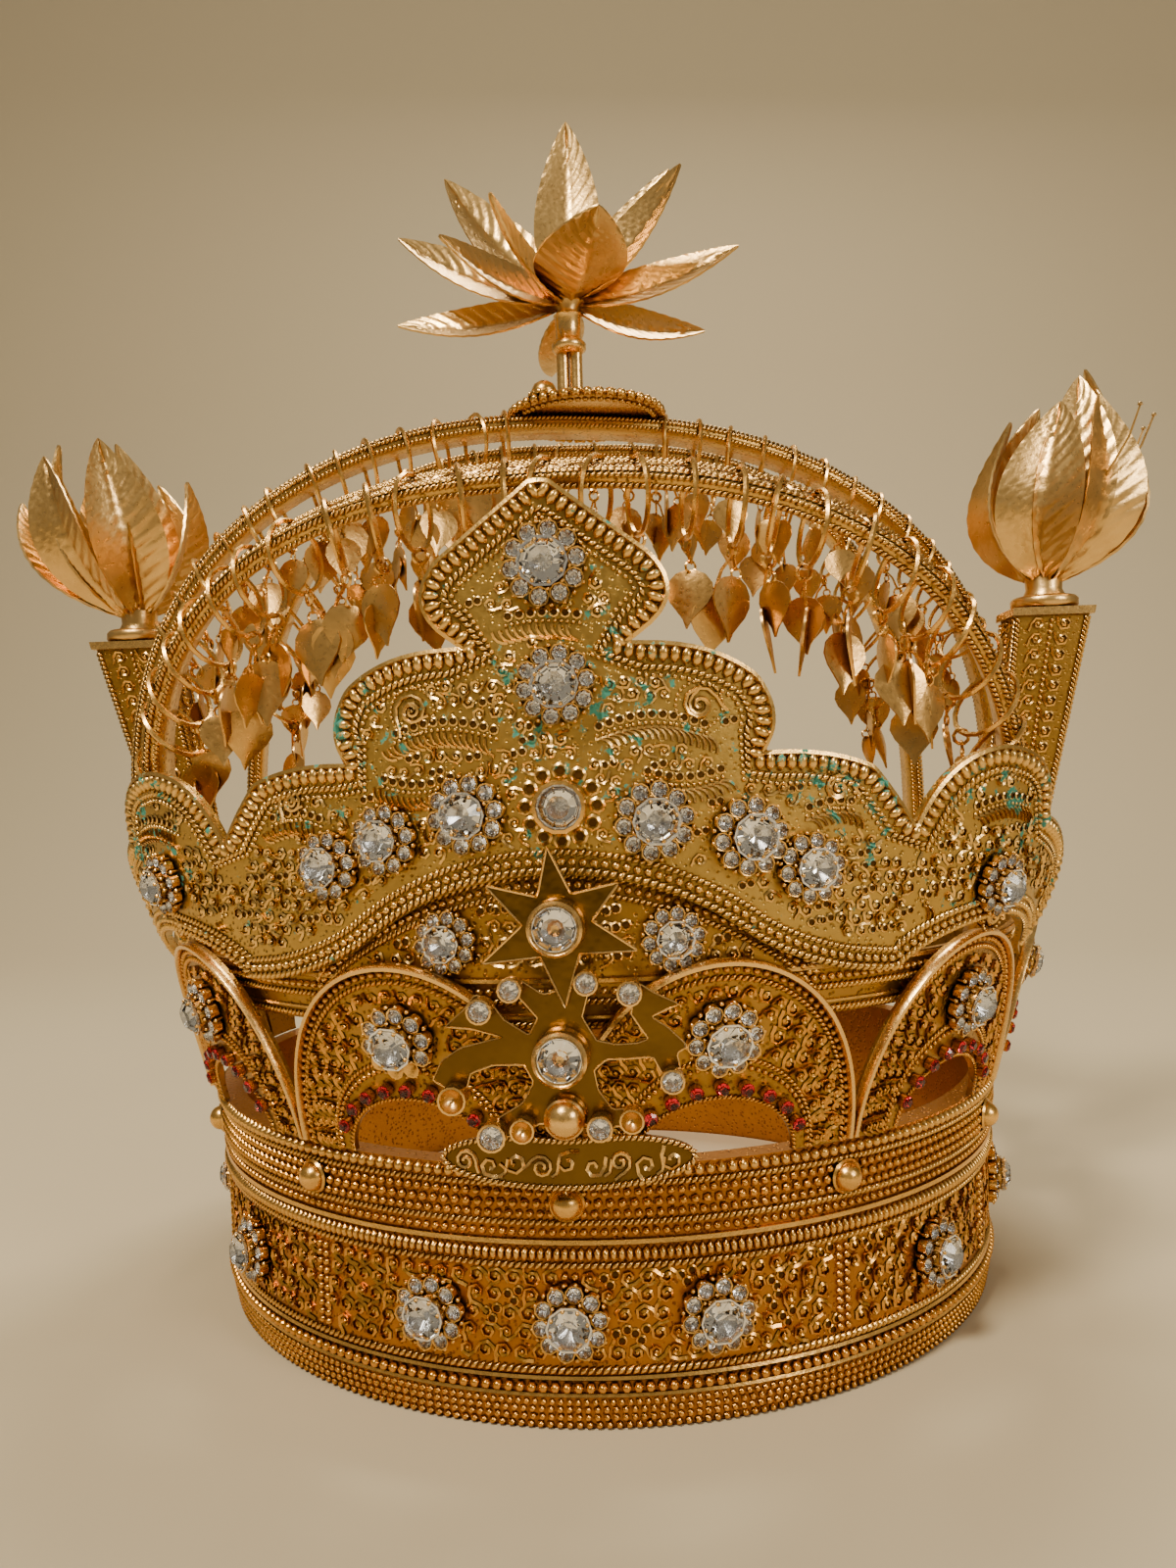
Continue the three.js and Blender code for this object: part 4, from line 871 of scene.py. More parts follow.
def build_plate():
    right_top = lobe_path(LOBES[:TIP_LOBE + 1], (0, 175))
    right_low = lobe_path(LOBES[TIP_LOBE + 1:], LOBES[TIP_LOBE][0])
    mirror = np.array([-1, 1])
    top = np.concatenate([(right_top * mirror)[::-1], right_top[1:]])
    low = np.concatenate([right_low, (right_low * mirror)[::-1][1:]])
    outline = np.concatenate([top, low[1:-1]])
    body, rim, work = Pile(), Pile(), Pile()
    sheet(body, plate, outline, 1.4, cell=2.6)
    body.piece("plate_sheet", PLATE_FIELD, "gold", ["front_plate"])
    gadroons(rim, plate, offset_path(top, 1.9, outline), 3.7, 2.0, 1.3)
    wire(rim, plate, offset_path(top, 0.35, outline), 0.65, step=1.2)
    rope(rim, plate, offset_path(top, 4.5, outline), 0.62)
    beads(work, plate, offset_path(top, 5.9, outline), 0.5, 1.25, template=GRAIN)
    rope(rim, plate, offset_path(low, 0.8, outline), 0.72)
    beads(rim, plate, offset_path(low, 2.4, outline), 0.85, 1.9)
    rope(rim, plate, offset_path(low, 4.0, outline), 0.6)
    rim.piece("plate_border", PLATE_GOLD, "gold")
    spots = [(0.4, 158.8, 7.3), (1.1, 137.7, 6.9), (-23.3, 106.4, 6.3), (-16.5, 111.2, 6.3),
             (-7.8, 115.4, 6.9), (9.9, 113.5, 6.9), (19.1, 110.2, 6.9), (25.4, 104.0, 6.3),
             (-48.2, 102.2, 6.3), (48.8, 98.4, 6.3)]
    seats = Settings()
    for az, z, r in spots:
        p, _, n = spot(plate, az * PLATE_MM, z)
        seats.rosette(p, n, radius=r)
    bezel = (1.2 * PLATE_MM, 116.5)
    p, along, n = spot(plate, *bezel)
    seats.stone(p, along, n, 3.6, lift=0.8)
    for a in np.arange(0, 360, 30) * DEG:
        rings(work, plate, [(bezel[0] + 6.2 * math.cos(a), bezel[1] + 6.2 * math.sin(a))], 1.25)
    seats.finish("plate")
    keep = [(az * PLATE_MM, z, r + 1.2) for az, z, r in spots] + [(*bezel, 8.2)]
    keep += [(-6.8 * PLATE_MM, 156.5, 3.6), (7.2 * PLATE_MM, 156.5, 3.6)]
    for low_az, high_az, z0, bow in ((-15.5, -4.5, 128.5, 2.2), (4.5, 15.5, 128.5, 2.2), (-17, -9, 121, -1.5),
                                     (9, 17, 121, -1.5), (-5.8, 5.8, 147.6, 1.5), (-31, -24, 113.5, 1.5),
                                     (25, 32, 113, 1.5), (-46, -38, 96.5, -1.5), (38, 46, 96.5, -1.5),
                                     (-54, -44, 112, 2.0), (44, 54, 112, 2.0)):
        t = np.linspace(0, 1, 24)
        row = np.stack([(low_az + (high_az - low_az) * t) * PLATE_MM, z0 + bow * np.sin(math.pi * t)], -1)
        row = row[clear_of(outline, row) > 7.5]
        garland(work, plate, row, 1.0, 1 if low_az > 0 else -1)
        keep += [(x, z - 0.4, 3.2) for x, z in row[::2]]
    for az, z, size in ((-13.2, 134.2, 3.4), (14.6, 133.6, 3.4), (-27.8, 118.4, 2.8), (28.6, 118.0, 2.8),
                        (-49, 92.6, 2.6), (50, 91.6, 2.6)):
        for r, turn in ((size, 0.4), (size * 0.62, 2.2)):
            scroll(work, plate, az * PLATE_MM, z, r, turn, 1 if az > 0 else -1, 0.36, LARGE_CURL)
        a = np.arange(0, 360, 15) * DEG
        round_it = np.stack([az * PLATE_MM + (size + 0.8) * np.cos(a), z + (size + 0.8) * np.sin(a)], -1)
        beads(work, plate, round_it, 0.36, 0.95, True, template=GRAIN)
        keep.append((az * PLATE_MM, z, size + 1.9))
    fill(work, plate, outline, 2.8, 6.6, keep, radius=0.3, ring_share=0.2)
    work.piece("plate_filigree", PLATE_GOLD, "gold")


build_plate()


# Star, sun and inscribed oval

def facing(plane):
    def wrap(x, z, h):
        x, z, h = np.broadcast_arrays(np.asarray(x, float), z, h)
        return np.stack([x, -(plane + h), z], -1).astype(float)
    return wrap


BEZEL = turned([(0.01, -0.1), (1.3, -0.1), (1.22, 0.12), (1.16, 0.2), (1.16, 1.0), (1.22, 1.1), (1.1, 1.24),
                (0.98, 1.16), (0.96, 0.8), (0.01, 0.5)], 28)
STALK = turned([(0.01, -2.4), (1.1, -2.4), (1.1, -0.4), (1.28, -0.1), (1.24, 0.25), (1.05, 0.28),
                (0.98, -0.1), (0.01, -0.8)], 14)
STAR_Y, SUN_Y = 113.5, 111.8
FRONT_N = np.array([0, -1.0, 0])
ACROSS = np.array([1.0, 0, 0])


def build_front_ornaments():
    sheets, work = Pile(), Pile()
    seats = Settings()
    star_face = facing(STAR_Y)
    centre = np.array([1.7, 96.2])
    star = []
    arms = [(95.8, 13.6), (149.5, 14.2), (205.2, 14.6), (274, 13.9), (342.3, 14.4), (394, 13.0)]
    for (a, length), (after, _) in zip(arms, arms[1:] + [(455.8, 0)]):
        star += [centre + length * np.array([math.cos(a * DEG), math.sin(a * DEG)]),
                 centre + 6.0 * np.array([math.cos((a + after) / 2 * DEG), math.sin((a + after) / 2 * DEG)])]
    star = np.array(star)
    sheet(sheets, star_face, star, 1.1, cell=1.5)
    wire(work, star_face, star, 0.22, True, step=0.8)
    sheets.tube([[1.7, -105.5, 96.2], [1.7, -112.6, 96.2]], 2.0, 10)
    sheets.piece("star_sheet", OLIVE, "dark_gold", ["star"])
    sun_face = facing(SUN_Y)
    core = np.array([1.7, 73.9])
    disc = Pile()
    flames = [(1.2, 11.5), (4.0, 13.6), (5.2, 12.4), (3.6, 6.5), (6.0, 2.4), (9.4, 1.7), (13.0, 1.9),
              (15.0, 2.6), (13.6, 4.6), (12.1, 6.9), (12.4, 9.6), (13.4, 12.2), (16.2, 10.4), (20.3, 8.5),
              (17.6, 7.4), (15.4, 6.4), (18.2, 4.6), (21.6, 1.3), (19.6, 0.2), (20.4, -3.6), (19.0, -5.2),
              (17.2, -3.4), (15.6, -0.4), (11.8, -0.7), (7.6, -0.8), (5.4, -2.6), (6.0, -6.0), (8.4, -9.4),
              (12.6, -9.2), (13.4, -11.0), (11.4, -12.0), (6.2, -12.6), (3.0, -11.6), (-4.4, -11.8),
              (-7.2, -13.4), (-12.6, -14.4), (-13.6, -12.4), (-11.4, -10.8), (-7.0, -8.2), (-5.0, -4.6),
              (-6.6, -1.6), (-12.0, -1.6), (-16.0, -3.0), (-17.4, -7.8), (-20.0, -8.0), (-20.4, -5.4),
              (-22.6, -4.2), (-21.0, -0.8), (-17.6, 1.4), (-10.2, 3.2), (-15.2, 4.6), (-20.2, 5.1),
              (-16.8, 8.0), (-14.8, 10.6), (-12.4, 9.6), (-10.0, 6.2), (-5.6, 3.4), (-4.0, 6.4),
              (-9.0, 12.2), (-7.6, 13.4), (-3.0, 10.4)]
    flames = core + np.array(flames)
    sheet(disc, sun_face, flames, 1.1, cell=1.6)
    wire(work, sun_face, flames, 0.16, True, step=0.8)
    disc.tube([[1.7, -103.5, 79], [1.7, -111, 79]], 2.0, 10)
    disc.piece("sun_sheet", OLIVE, "dark_gold", ["sun"])
    small = [(-8.2, 11.9, 1.7, 0), (4.8, 12.9, 1.7, 0), (12.1, 11.1, 1.75, 0), (-13.5, 8.4, 1.8, 0),
             (-18.5, -6.6, 2.0, 1), (18.9, -3.7, 1.7, 0), (-11.9, -12.9, 2.0, 0), (-6.7, -11.9, 1.7, 1),
             (6.5, -11.5, 1.8, 0), (11.9, -10.3, 1.7, 1)]
    for x, z, r, empty in small:
        at = np.array([core[0] + x, -SUN_Y, core[1] + z])
        work.stamp(STALK, at + FRONT_N * (r * 1.05 + 2.2), ACROSS, FRONT_N, r)
        seats.stone(at, ACROSS, FRONT_N, r, collet=False, empty=bool(empty), lift=2.3)
    for middle, face, node in ((centre, STAR_Y, "star_stone"), (core, SUN_Y, "sun_stone")):
        at = np.array([middle[0], -face, middle[1]])
        work.stamp(BEZEL, at, ACROSS, FRONT_N, (3.9, 3.9, 3.9))
        seats.foil.stamp(FOIL, at + FRONT_N * 4.3, ACROSS, FRONT_N, 3.55)
        gem = Pile()
        gem.stamp(GEM, at + FRONT_N * 4.3, ACROSS, FRONT_N, 3.7)
        gem.piece(node + "_cut", CLEAR, "clear_stone", [node], smooth=False)
    boss = np.array([core[0] + 0.4, -SUN_Y, core[1] - 10.3])
    work.stamp(BEZEL, boss, ACROSS, FRONT_N, (2.9, 2.9, 2.6))
    work.stamp(ball(18, 9, -20), boss + FRONT_N * 2.6, ACROSS, FRONT_N, (3.2, 3.2, 2.6))
    work.piece("ornament_bezels", BRIGHT, "gold")
    seats.foil.piece("ornament_foils", SILVER, "gold", smooth=False)
    seats.stones.piece("ornament_stones", CLEAR, "clear_stone", smooth=False)

    oval_r = 103.5
    oval_mm = oval_r * DEG

    def oval(x, z, h):
        return around(np.asarray(x) / oval_mm, oval_r + h, z)

    a = np.arange(0, 360, 6) * DEG
    dip = 1.6 * np.exp(-(np.cos(a) / 0.42) ** 2) * (np.sin(a) > 0)
    edge = np.stack([0.6 * oval_mm + 13.0 * oval_mm * np.cos(a), 53.1 + 5.3 * np.sin(a) - dip], -1)
    slab, strokes = Pile(), Pile()
    sheet(slab, oval, edge, 1.2, cell=1.8)
    for az in (-4, 4):
        slab.tube(around([az, az], np.array([98.2, 102.6]), 48.9), 1.0, 8)
    slab.piece("oval_sheet", OLIVE, "dark_gold", ["inscribed_oval"])
    rope(strokes, oval, edge + (np.array([0.6 * oval_mm, 53.1]) - edge) * [0.02, 0.08], 0.55, True)
    for k in range(9):
        x = (k - 4) * 4.7 + 1.1
        shape = SHORT_CURL if k % 3 else LARGE_CURL
        scroll(strokes, oval, x, 52.7 - 0.8 * (k % 2), 2.1, (k * 1.9) % 6.28, -1 if k % 2 else 1, 0.4,
               shape, 0.3, False)
        if k % 2:
            at = [[x + 1.6, 50.0], [x + 2.9, 50.9], [x + 3.4, 53.6]]
            wire(strokes, oval, at, 0.38, step=0.6)
    strokes.piece("oval_strokes", BRIGHT, "gold")


build_front_ornaments()


# Arches and their leaf drops

def leaf_template():
    """A bodhi leaf hanging down its own -z, about unit length, slightly cupped."""
    rows = [(0, 0.1), (-0.06, 0.26), (-0.2, 0.38), (-0.38, 0.41), (-0.55, 0.33), (-0.7, 0.2), (-0.84, 0.08),
            (-1, 0.01)]
    outer = np.array([[[s * half, 0.14 * half * (abs(s) - 0.5), z] for s in (-1, -0.5, 0, 0.5, 1)]
                      for z, half in rows])
    pile = Pile()
    pile.grid_shell(outer, outer + [0, 0.035, 0])
    return pile.template()


LEAF_SHAPE = leaf_template()
DROP_RING = hoop(0.075, 18, 5)
EYE = hoop(0.24, 9, 4)

ARCHES = [
    ("front_arch", 9, 0, 91.5, -55, 27.7, 105, 82.4, 2.4, 8.4, 0.17),
    ("middle_arch", 11, 15, 114.5, 0, 0, 120, 94.5, 2.3, 8.6, 0.2),
    ("rear_arch", 9, 8, 98.3, 39.7, 0, 98, 120, 2.8, 9.0, 0.18),
]
THICK = 3.3
RING_R = 7.3


def arch_tools(width, turn, span, setback, lean, springing, rise, roundness):
    t = np.linspace(0, math.pi / 2, 60)
    right = np.stack([span * np.cos(t) ** (2 / roundness), rise * np.sin(t) ** (2 / roundness)], -1)
    legs = []
    for z in (79, 88):
        up = (z - springing) / math.cos(lean * DEG)
        reach = []
        for side in (-width / 2, width / 2):
            y = -up * math.sin(lean * DEG) - side * math.cos(lean * DEG) + setback
            low = min(up * math.cos(lean * DEG) - side * math.sin(lean * DEG) + springing, GAL_HIGH)
            clear = (93.35 + SLOPE * (low - BAND_TOP)) * math.cos(5 * DEG) - 0.5
            reach.append(math.sqrt(clear ** 2 - y ** 2) - THICK / 2)
        legs.append((min(reach), up))
    half = np.concatenate([legs, right])
    line = np.concatenate([half * [-1, 1], half[::-1][1:]])
    run = run_of(line)
    tilt = (90 + lean) * DEG
    c, s = math.cos(turn * DEG), math.sin(turn * DEG)

    def place(flat, across):
        x, y = flat[..., 0], flat[..., 1]
        py = y * math.cos(tilt) - across * math.sin(tilt) + setback
        pz = y * math.sin(tilt) + across * math.cos(tilt) + springing
        return np.stack([c * x - s * py, s * x + c * py, pz], -1)

    def wrap(along, across, h):
        along, across, h = np.broadcast_arrays(np.asarray(along, float), across, h)
        e = 1.5
        way = unit(at_run(along + e, run, line) - at_run(along - e, run, line))
        out = np.stack([-way[..., 1], way[..., 0]], -1)
        return place(at_run(along, run, line) + out * (THICK / 2 + h)[..., None], -across)

    return wrap, run[-1]


def build_arch(name, width, turn, span, setback, lean, springing, rise, roundness, pitch, bare):
    """One arch; its rings hang pitch mm apart, but for the bare share of its length at each end."""
    wrap, length = arch_tools(width, turn, span, setback, lean, springing, rise, roundness)
    strip, work, drops, leaves = Pile(), Pile(), Pile(), Pile()
    half = width / 2
    section = [(-half + 0.4, 0), (half - 0.4, 0), (half, -0.4), (half, -THICK + 0.4),
               (half - 0.4, -THICK), (-half + 0.4, -THICK), (-half, -THICK + 0.4), (-half, -0.4)]
    s = np.linspace(0.01, length - 0.01, 150)
    strip.loft(np.array([[wrap(a, w, h) for w, h in section] for a in s]).reshape(len(s), len(section), 3))
    strip.piece(name + "_strip", STRIP, "gold", [name])
    for w, r in ((half - 0.6, 0.62), (half - 2.1, 0.5)):
        for side in (-1, 1):
            rope(work, wrap, [[1, side * w], [length - 1, side * w]], r)
    for w, way in ((-half, -1), (half, 1)):
        def side_wrap(along, up, h, w=w, way=way):
            return wrap(along, w + way * np.asarray(h), -way * np.asarray(up) - THICK / 2)
        for level in (-0.95, 0.95):
            rope(work, side_wrap, [[1, level], [length - 1, level]], 0.58)
    size, step = (1.55, 3.9) if width < 10 else (2.1, 4.6)
    scroll_row(work, wrap, [[2, 0], [length - 2, 0]], size, step)
    work.piece(name + "_filigree", GOLD, "gold")
    wide = unit(wrap(length / 2, 1.0, 0) - wrap(length / 2, -1.0, 0))
    start = length * bare
    count = int((length - 2 * start) / pitch)
    for k in range(count + 1):
        a = start + (length - 2 * start) * k / count + rng.uniform(-1.2, 1.2)
        if name == "middle_arch" and abs(a - length / 2) < 17:
            continue
        top = wrap(a, 0.0, 0.0)
        n = normals(wrap, np.array([a]), np.array([0.0]))[0]
        hang = unit(-0.8 * unit(n) + np.array([0, 0, -0.6]))
        centre = top + hang * (math.sqrt(RING_R ** 2 - half ** 2) - 0.4)
        x_way = unit(wide + np.cross(wide, hang) * rng.uniform(-0.35, 0.35))
        drops.stamp(DROP_RING, centre, x_way, np.cross(x_way, hang), RING_R)
        eye = centre + hang * RING_R
        for leaf in range(2 if rng.random() < 0.8 else 1):
            swing = rng.uniform(0, 2 * math.pi)
            drift = np.array([math.cos(swing), math.sin(swing), 0]) * (0.8 + 2.6 * leaf)
            low = eye + drift + np.array([0, 0, -rng.uniform(3.6, 5.4) - 3.5 * leaf])
            swing_way = (math.cos(swing), math.sin(swing), 0)
            drops.stamp(EYE, eye + np.array([0, 0, -0.9]), (0, 0, 1), swing_way, 1.5)
            hook = [eye + [0, 0, -1.8], (eye + low) / 2 + drift * 0.1, low + [0, 0, 0.6]]
            drops.tube(hook, 0.33, 4, (1, 0.2, 0))
            drops.stamp(EYE, low, (0, 0, 1), (-math.sin(swing), math.cos(swing), 0), 1.1)
            yaw = swing + rng.uniform(-0.9, 0.9)
            tilt = unit(np.array([0, 0, 1]) + 0.18 * np.array([rng.uniform(-1, 1), rng.uniform(-1, 1), 0]))
            size = rng.uniform(10.5, 13.5)
            leaves.stamp(LEAF_SHAPE, low + [0, 0, -0.6], (math.cos(yaw), math.sin(yaw), 0), tilt, size)
    drops.piece(name + "_rings", GOLD, "gold")
    leaves.piece(name + "_leaves", LEAF, "gold")


for row in ARCHES:
    build_arch(*row)


# Hub, knob, stem and lotus

UP = np.array([0, 0, 1.0])
STEM_X = -4


def circle(radius, z, count, x=0.0, y=0.0):
    a = np.arange(count) * 2 * math.pi / count
    return np.stack([x + radius * np.cos(a), y + radius * np.sin(a), z + 0 * a], -1), \
        np.stack([-np.sin(a), np.cos(a), 0 * a], -1)


def build_top():
    hub = Pile()
    hub.stamp(turned([(0.01, 0), (16.5, 0), (19.4, 0.5), (19.8, 1.3), (19.2, 2.1), (11.5, 2.4), (10.6, 3.2),
                      (8.6, 5.0), (7.6, 5.6), (0.01, 5.6)], 48), [0, 0, 216.5], ACROSS, UP, 1.0)
    for radius, z, r, step in ((19.9, 217.7, 1.35, 2.9), (17.6, 218.9, 0.75, 1.7), (14.6, 218.9, 0.9, 2.0),
                               (12.0, 219.1, 0.6, 1.4), (9.6, 221.2, 0.7, 1.6), (18.0, 216.5, 0.8, 1.9)):
        at, way = circle(radius, z, int(2 * math.pi * radius / step))
        hub.stamp(ball(7, 4), at, way, UP, r)
    hub.piece("hub_work", GOLD, "gold", ["hub_plate"])
    knob = Pile()
    foot = np.array([-9.5, -13, 219.05])
    knob.stamp(turned([(0.01, 0), (4.0, 0), (4.0, 0.8), (3.3, 1.2), (3.3, 1.7), (2.6, 3.2), (1.2, 4.1),
                       (0.01, 4.3)], 24), foot, ACROSS, UP, 1.0)
    at, way = circle(3.6, 219.6, 14, foot[0], foot[1])
    knob.stamp(ball(6, 4), at, way, UP, 0.7)
    knob.piece("knob_work", GOLD, "gold", ["top_knob"])
    stem = Pile()
    base = np.array([STEM_X, 0, 222.45])
    stem.stamp(turned([(0.01, 0), (4.4, 0), (4.2, 0.9), (3.6, 1.3), (3.6, 2.0), (0.01, 2.2)], 24),
               base, ACROSS, UP, 1.0)
    for dx in (-1.75, 1.75):
        stem.tube([base + [dx, 0, 1], base + [dx, 0, 12.6]], 1.7, 14, (0, 1, 0))
    stem.stamp(turned([(0.01, 12), (3.5, 12), (4.5, 13), (4.6, 14.4), (3.7, 15.4), (3.4, 16), (3.5, 21.4),
                       (4.0, 22), (0.01, 22)], 24), base, ACROSS, UP, 1.0)
    stem.piece("stem_tubes", BRIGHT, "pale_gold", ["finial_stem"])


STATIONS = 42


def petal(pile, line, sides, faces, width, thickness=0.6):
    """A ribbed petal along a line, with the ways of its sides and of its hollow face."""
    m = len(line)
    t = np.linspace(0, 1, m)
    half = width / 2 * np.maximum(np.sin(math.pi * t ** 0.8), 0) ** 0.8
    half[0], half[-1] = width * 0.09, 0.1
    u = np.linspace(-1, 1, 13)
    cup = 0.28 * np.abs(u) ** 1.5
    rib = 0.34 * np.sin(2 * math.pi * (t[:, None] * 12 - np.abs(u)[None] * 2.2))
    rib = rib * np.minimum(1, 6 * (1 - t))[:, None]
    rib = rib * (np.abs(u) > 0.05) * (1 - 0.6 * np.abs(u) ** 6)
    midrib = -0.45 * np.exp(-(u / 0.1) ** 2)
    rise = half[:, None] * cup[None] + rib * 0.75 + midrib[None] * np.minimum(1, half)[:, None]
    outer = (line[:, None] + sides[:, None] * (u[None] * half[:, None])[..., None]
             + faces[:, None] * rise[..., None])
    pile.grid_shell(outer, outer - faces[:, None] * thickness)


LOTUS = [
    (180, 80, 55, 18), (106, 53, 48, 15), (66, 40, 44, 15), (20, 20, 34, 24),
    (-98, 49, 51, 16), (-30, 30, 36, 14), (-90, 25, 50, 15), (-56, 18, 38, 15),
    (-97, 0, 48, 15), (88, 15, 47, 15), (105, -8, 38, 15), (-165, -10, 36, 14),
]


def build_lotus():
    heart = np.array([STEM_X, 0, 247.4])
    pile = Pile()
    pile.stamp(turned([(0.01, -2.6), (3.4, -2.6), (3.0, -1.6), (4.2, 0.2), (4.4, 1.2), (2.5, 3.6),
                       (0.01, 4.4)], 20), heart, ACROSS, UP, 1.0)
    for az, rise, length, width in LOTUS:
        way = around(az, math.cos(rise * DEG), math.sin(rise * DEG))
        t = np.linspace(0, 1, STATIONS)
        face = np.array([0, -0.8, 0.6]) if abs(az - 20) > 20 else UP
        face = unit(face - way * (face @ way))
        side = np.cross(way, face)
        line = heart + way * (1.6 + (length - 1.6) * t[:, None]) - face * (3 * np.sin(math.pi * t))[:, None]
        petal(pile, line, np.tile(side, (STATIONS, 1)), np.tile(face, (STATIONS, 1)), width)
    pile.piece("lotus_petals", PETAL, "pale_gold", ["lotus_finial"])


# Horns and their buds

HORNS = [
    ("left", -88, 123, 0.3,
     [(0, 17, 22, 34, 19), (180, 18, 26, 38, 19), (-125, 17, 21, 42, 19), (-65, 16, 15, 42, 19),
      (65, 15, 14, 43, 19), (125, 16, 20, 46, 19), (-95, 12, 7, 50, 19), (-20, 12, 12, 44, 18),
      (20, 11, 6, 49, 18), (160, 12, 12, 48, 18)]),
    ("right", 92, 118, 0.17,
     [(0, 17, 13, 40, 20), (180, 17, 15, 44, 20), (-60, 16, 9, 48, 21), (-120, 16, 11, 46, 21),
      (60, 16, 10, 48, 20), (120, 16, 11, 50, 20), (-90, 11, 4, 54, 20), (10, 9, 3, 57, 18)]),
]
HORN_LOW, HORN_HIGH = 92, 160
CORNERS = ((-1, -1), (1, -1), (1, 1), (-1, 1))


def build_horn(side_name, azimuth, top_radius, lean, petals):
    out = around(azimuth, 1, 0)
    out[2] = 0
    across = np.cross(UP, out)
    body, work, cap = Pile(), Pile(), Pile()

    def sizes(z):
        share = (np.asarray(z, float) - HORN_LOW) / (HORN_HIGH - HORN_LOW)
        return 106.5 + (top_radius - 106.5) * share, 4 + 2.5 * share, 5.5 + 3.75 * share

    def corner(z, a, b, grow=0.0):
        radius, half_side, half_out = sizes(z)
        return out * (radius + b * (half_out + grow)) + across * (a * (half_side + grow)) + UP * z

    body.loft([[corner(z, a, b) for a, b in CORNERS] for z in np.linspace(HORN_LOW, HORN_HIGH, 12)])
    tang = [(99.2, 76.0), (101.6, 86.0), (103.5, 94.0)]
    body.loft([[out * (r + b * 0.8) + across * (a * 4) + UP * z for a, b in CORNERS] for r, z in tang])
    body.piece("horn_%s_case" % side_name, FIELD, "gold", ["horn_" + side_name])
    for normal, flank, pick in ((across, -out, 0), (-across, out, 0), (out, across, 1), (-out, -across, 1)):
        def wrap(u, z, h, normal=normal, flank=flank, pick=pick):
            u, z, h = np.broadcast_arrays(np.asarray(u, float), z, h)
            radius, half_side, half_out = sizes(z)
            depth = half_side if pick == 0 else half_out
            return (out * radius[..., None] + UP * z[..., None] + normal * (depth + h)[..., None]
                    + flank * u[..., None])

        zs = np.linspace(93, 159, 20)
        _, half_side, half_out = sizes(zs)
        edge = half_out if pick == 0 else half_side
        for sign in (-1, 1):
            rope(work, wrap, np.stack([sign * (edge - 0.6), zs], -1), 0.6)
        beads(work, wrap, np.stack([edge * 0, zs], -1), 0.6, 1.5)
        for k in range(17):
            z = 95 + k * 3.9
            room = float(sizes(z)[2 - pick]) - 2.6
            for sign in (-1, 1):
                scroll(work, wrap, sign * room * 0.52, z, min(1.8, room * 0.42), 1.57 * (1 + sign), sign)
    work.piece("horn_%s_filigree" % side_name, GOLD, "gold")
    cap.loft([[corner(z, a, b, 1.0) for a, b in CORNERS] for z in (159.6, 161.6)])
    cap.piece("horn_%s_cap" % side_name, BRIGHT, "gold", smooth=False)

    seat = out * top_radius + UP * 161.95
    bud = Pile()
    bud.stamp(turned([(0.01, 0), (7.9, 0), (8.4, 0.6), (8.4, 2.2), (7.8, 2.9), (5.4, 3.1), (4.5, 5), (4.8, 8),
                      (3.6, 10.5), (0.01, 12)], 28), seat, out, UP, 1.0)
    heart = seat + UP * 5
    for direction, belly, tip, height, width in petals:
        stations = np.array([0, 0.42, 0.72, 1])
        radii = np.polyfit(stations, [3.4, belly, (belly + tip) / 2 + 1, tip], 3)
        t = np.linspace(0, 1, STATIONS)
        lift = 2 + (height - 2) * t
        way = around(azimuth + direction, 1, 0)
        way[2] = 0
        line = heart + way * np.polyval(radii, t)[:, None] + UP * lift[:, None] + out * (lift * lean)[:, None]
        along = unit(np.gradient(line, axis=0))
        side = np.tile(np.cross(UP, way), (STATIONS, 1))
        face = unit(np.cross(side, along))
        petal(bud, line, side, face, width)
    if side_name == "right":
        for k in range(6):
            a = (azimuth - 50 + 26 * k) * DEG
            way = np.array([math.sin(a), -math.cos(a), 0])
            path = [heart + UP * up + way * reach for up, reach in ((8, 0), (22, 15), (34, 24), (41, 27))]
            bud.tube(path, [0.5, 0.4, 0.3, 0.25], 5, np.cross(UP, way))
            bud.stamp(BEAD, path[-1], out, UP, 0.7)
    bud.piece("bud_%s_petals" % side_name, PETAL, "pale_gold", ["bud_" + side_name])


build_top()
build_lotus()
for horn in HORNS:
    build_horn(*horn)


PAINTED_SHADE_DISCS.piece("filigree_painted_shade_discs", PAINTED_SHADE_METAL, "gold")


# Camera, floor and light

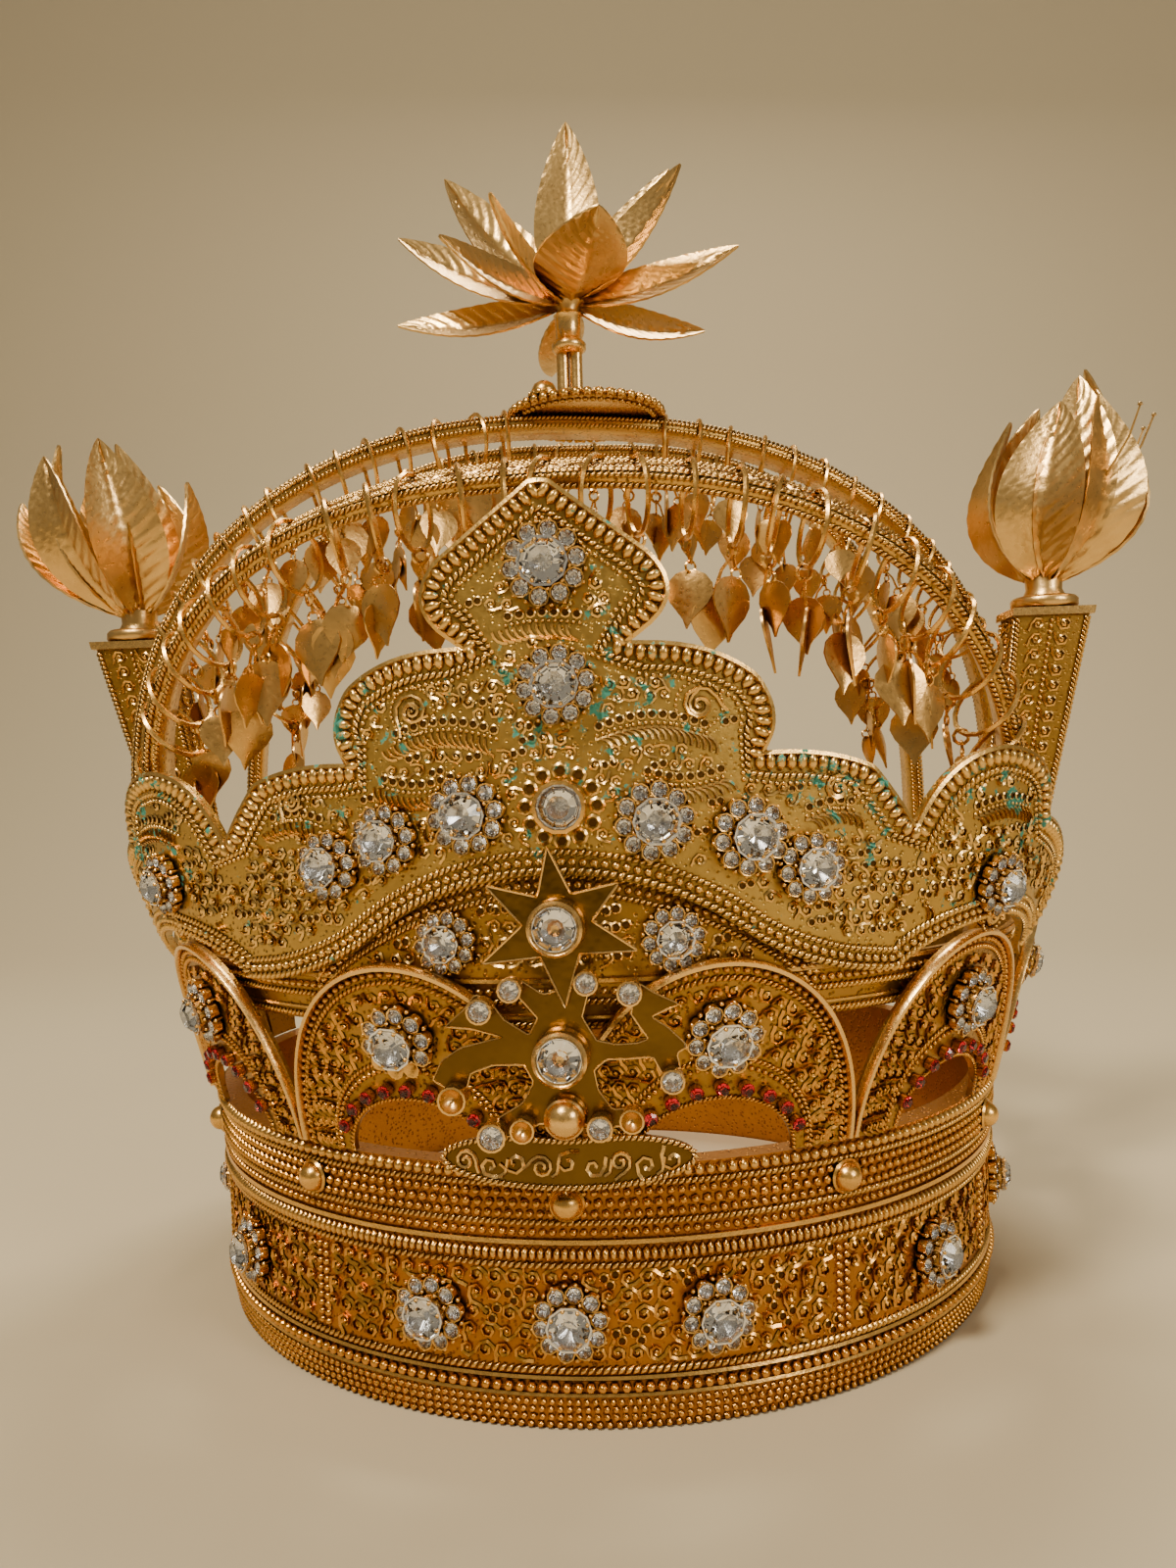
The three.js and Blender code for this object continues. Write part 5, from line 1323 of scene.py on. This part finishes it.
def build_stage():
    pitch, roll, yaw = -0.16 * DEG, -1.72 * DEG, 5.1 * DEG

    def turn(v):
        x, y, z = v
        y, z = math.cos(pitch) * y - math.sin(pitch) * z, math.sin(pitch) * y + math.cos(pitch) * z
        return Vector((math.cos(yaw) * x - math.sin(yaw) * y, math.sin(yaw) * x + math.cos(yaw) * y, z))

    right = turn((math.cos(roll), 0, math.sin(roll)))
    up = turn((-math.sin(roll), 0, math.cos(roll)))
    look = turn((0, 1, 0))
    seat = Vector((25.43 * MM + AXIS_X, -312 * MM + AXIS_Y, 120.8 * MM))
    camera = bpy.data.cameras.new("camera")
    camera.lens = 27
    camera.sensor_width = 36
    camera.clip_start = 0.01
    holder = bpy.data.objects.new("camera", camera)
    holder.matrix_world = Matrix((
        (right.x, up.x, -look.x, seat.x),
        (right.y, up.y, -look.y, seat.y),
        (right.z, up.z, -look.z, seat.z),
        (0, 0, 0, 1)))
    bpy.context.scene.collection.objects.link(holder)
    bpy.context.scene.camera = holder

    mat = bpy.data.materials.new("floor")
    mat.use_nodes = True
    shader = mat.node_tree.nodes["Principled BSDF"]
    shader.inputs["Base Color"].default_value = (0.56, 0.47, 0.31, 1)
    shader.inputs["Roughness"].default_value = 0.8
    sweep = [(-3.0, 0.0), (0.5, 0.0)]
    sweep += [(0.5 + 0.6 * math.sin(a), 0.6 - 0.6 * math.cos(a)) for a in np.linspace(0, math.pi / 2, 16)[1:]]
    sweep.append((1.1, 3.0))
    verts = [(x, y, z) for y, z in sweep for x in (-3.0, 3.0)]
    faces = [(2 * i, 2 * i + 1, 2 * i + 3, 2 * i + 2) for i in range(len(sweep) - 1)]
    mesh = bpy.data.meshes.new("floor")
    mesh.from_pydata(verts, [], faces)
    mesh.polygons.foreach_set("use_smooth", [True] * len(faces))
    mesh.materials.append(mat)
    floor = bpy.data.objects.new("floor", mesh)
    bpy.context.scene.collection.objects.link(floor)

    def lamp(name, at, energy, width, colour):
        light = bpy.data.lights.new(name, "AREA")
        light.energy = energy
        light.size = width
        light.color = colour
        obj = bpy.data.objects.new(name, light)
        obj.location = at
        obj.rotation_euler = (Vector((0, 0, 0.12)) - Vector(at)).to_track_quat("-Z", "Y").to_euler()
        bpy.context.scene.collection.objects.link(obj)

    lamp("key", (-0.35, -0.75, 1.15), 18, 0.26, (1, 0.9, 0.74))
    lamp("fill", (0.95, -0.8, 0.6), 6, 0.35, (1, 0.92, 0.8))
    lamp("top", (0.1, 0.45, 1.2), 10, 0.4, (1, 0.92, 0.78))
    world = bpy.data.worlds.new("world")
    world.use_nodes = True
    sky = world.node_tree.nodes["Background"]
    sky.inputs["Color"].default_value = (0.62, 0.53, 0.39, 1)
    sky.inputs["Strength"].default_value = 0.34
    bpy.context.scene.world = world


build_stage()

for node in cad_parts.values():
    if not node.data.materials:
        node.data.materials.append(GOLD)
    for index in range(len(node.data.materials)):
        node.data.materials[index] = GOLD
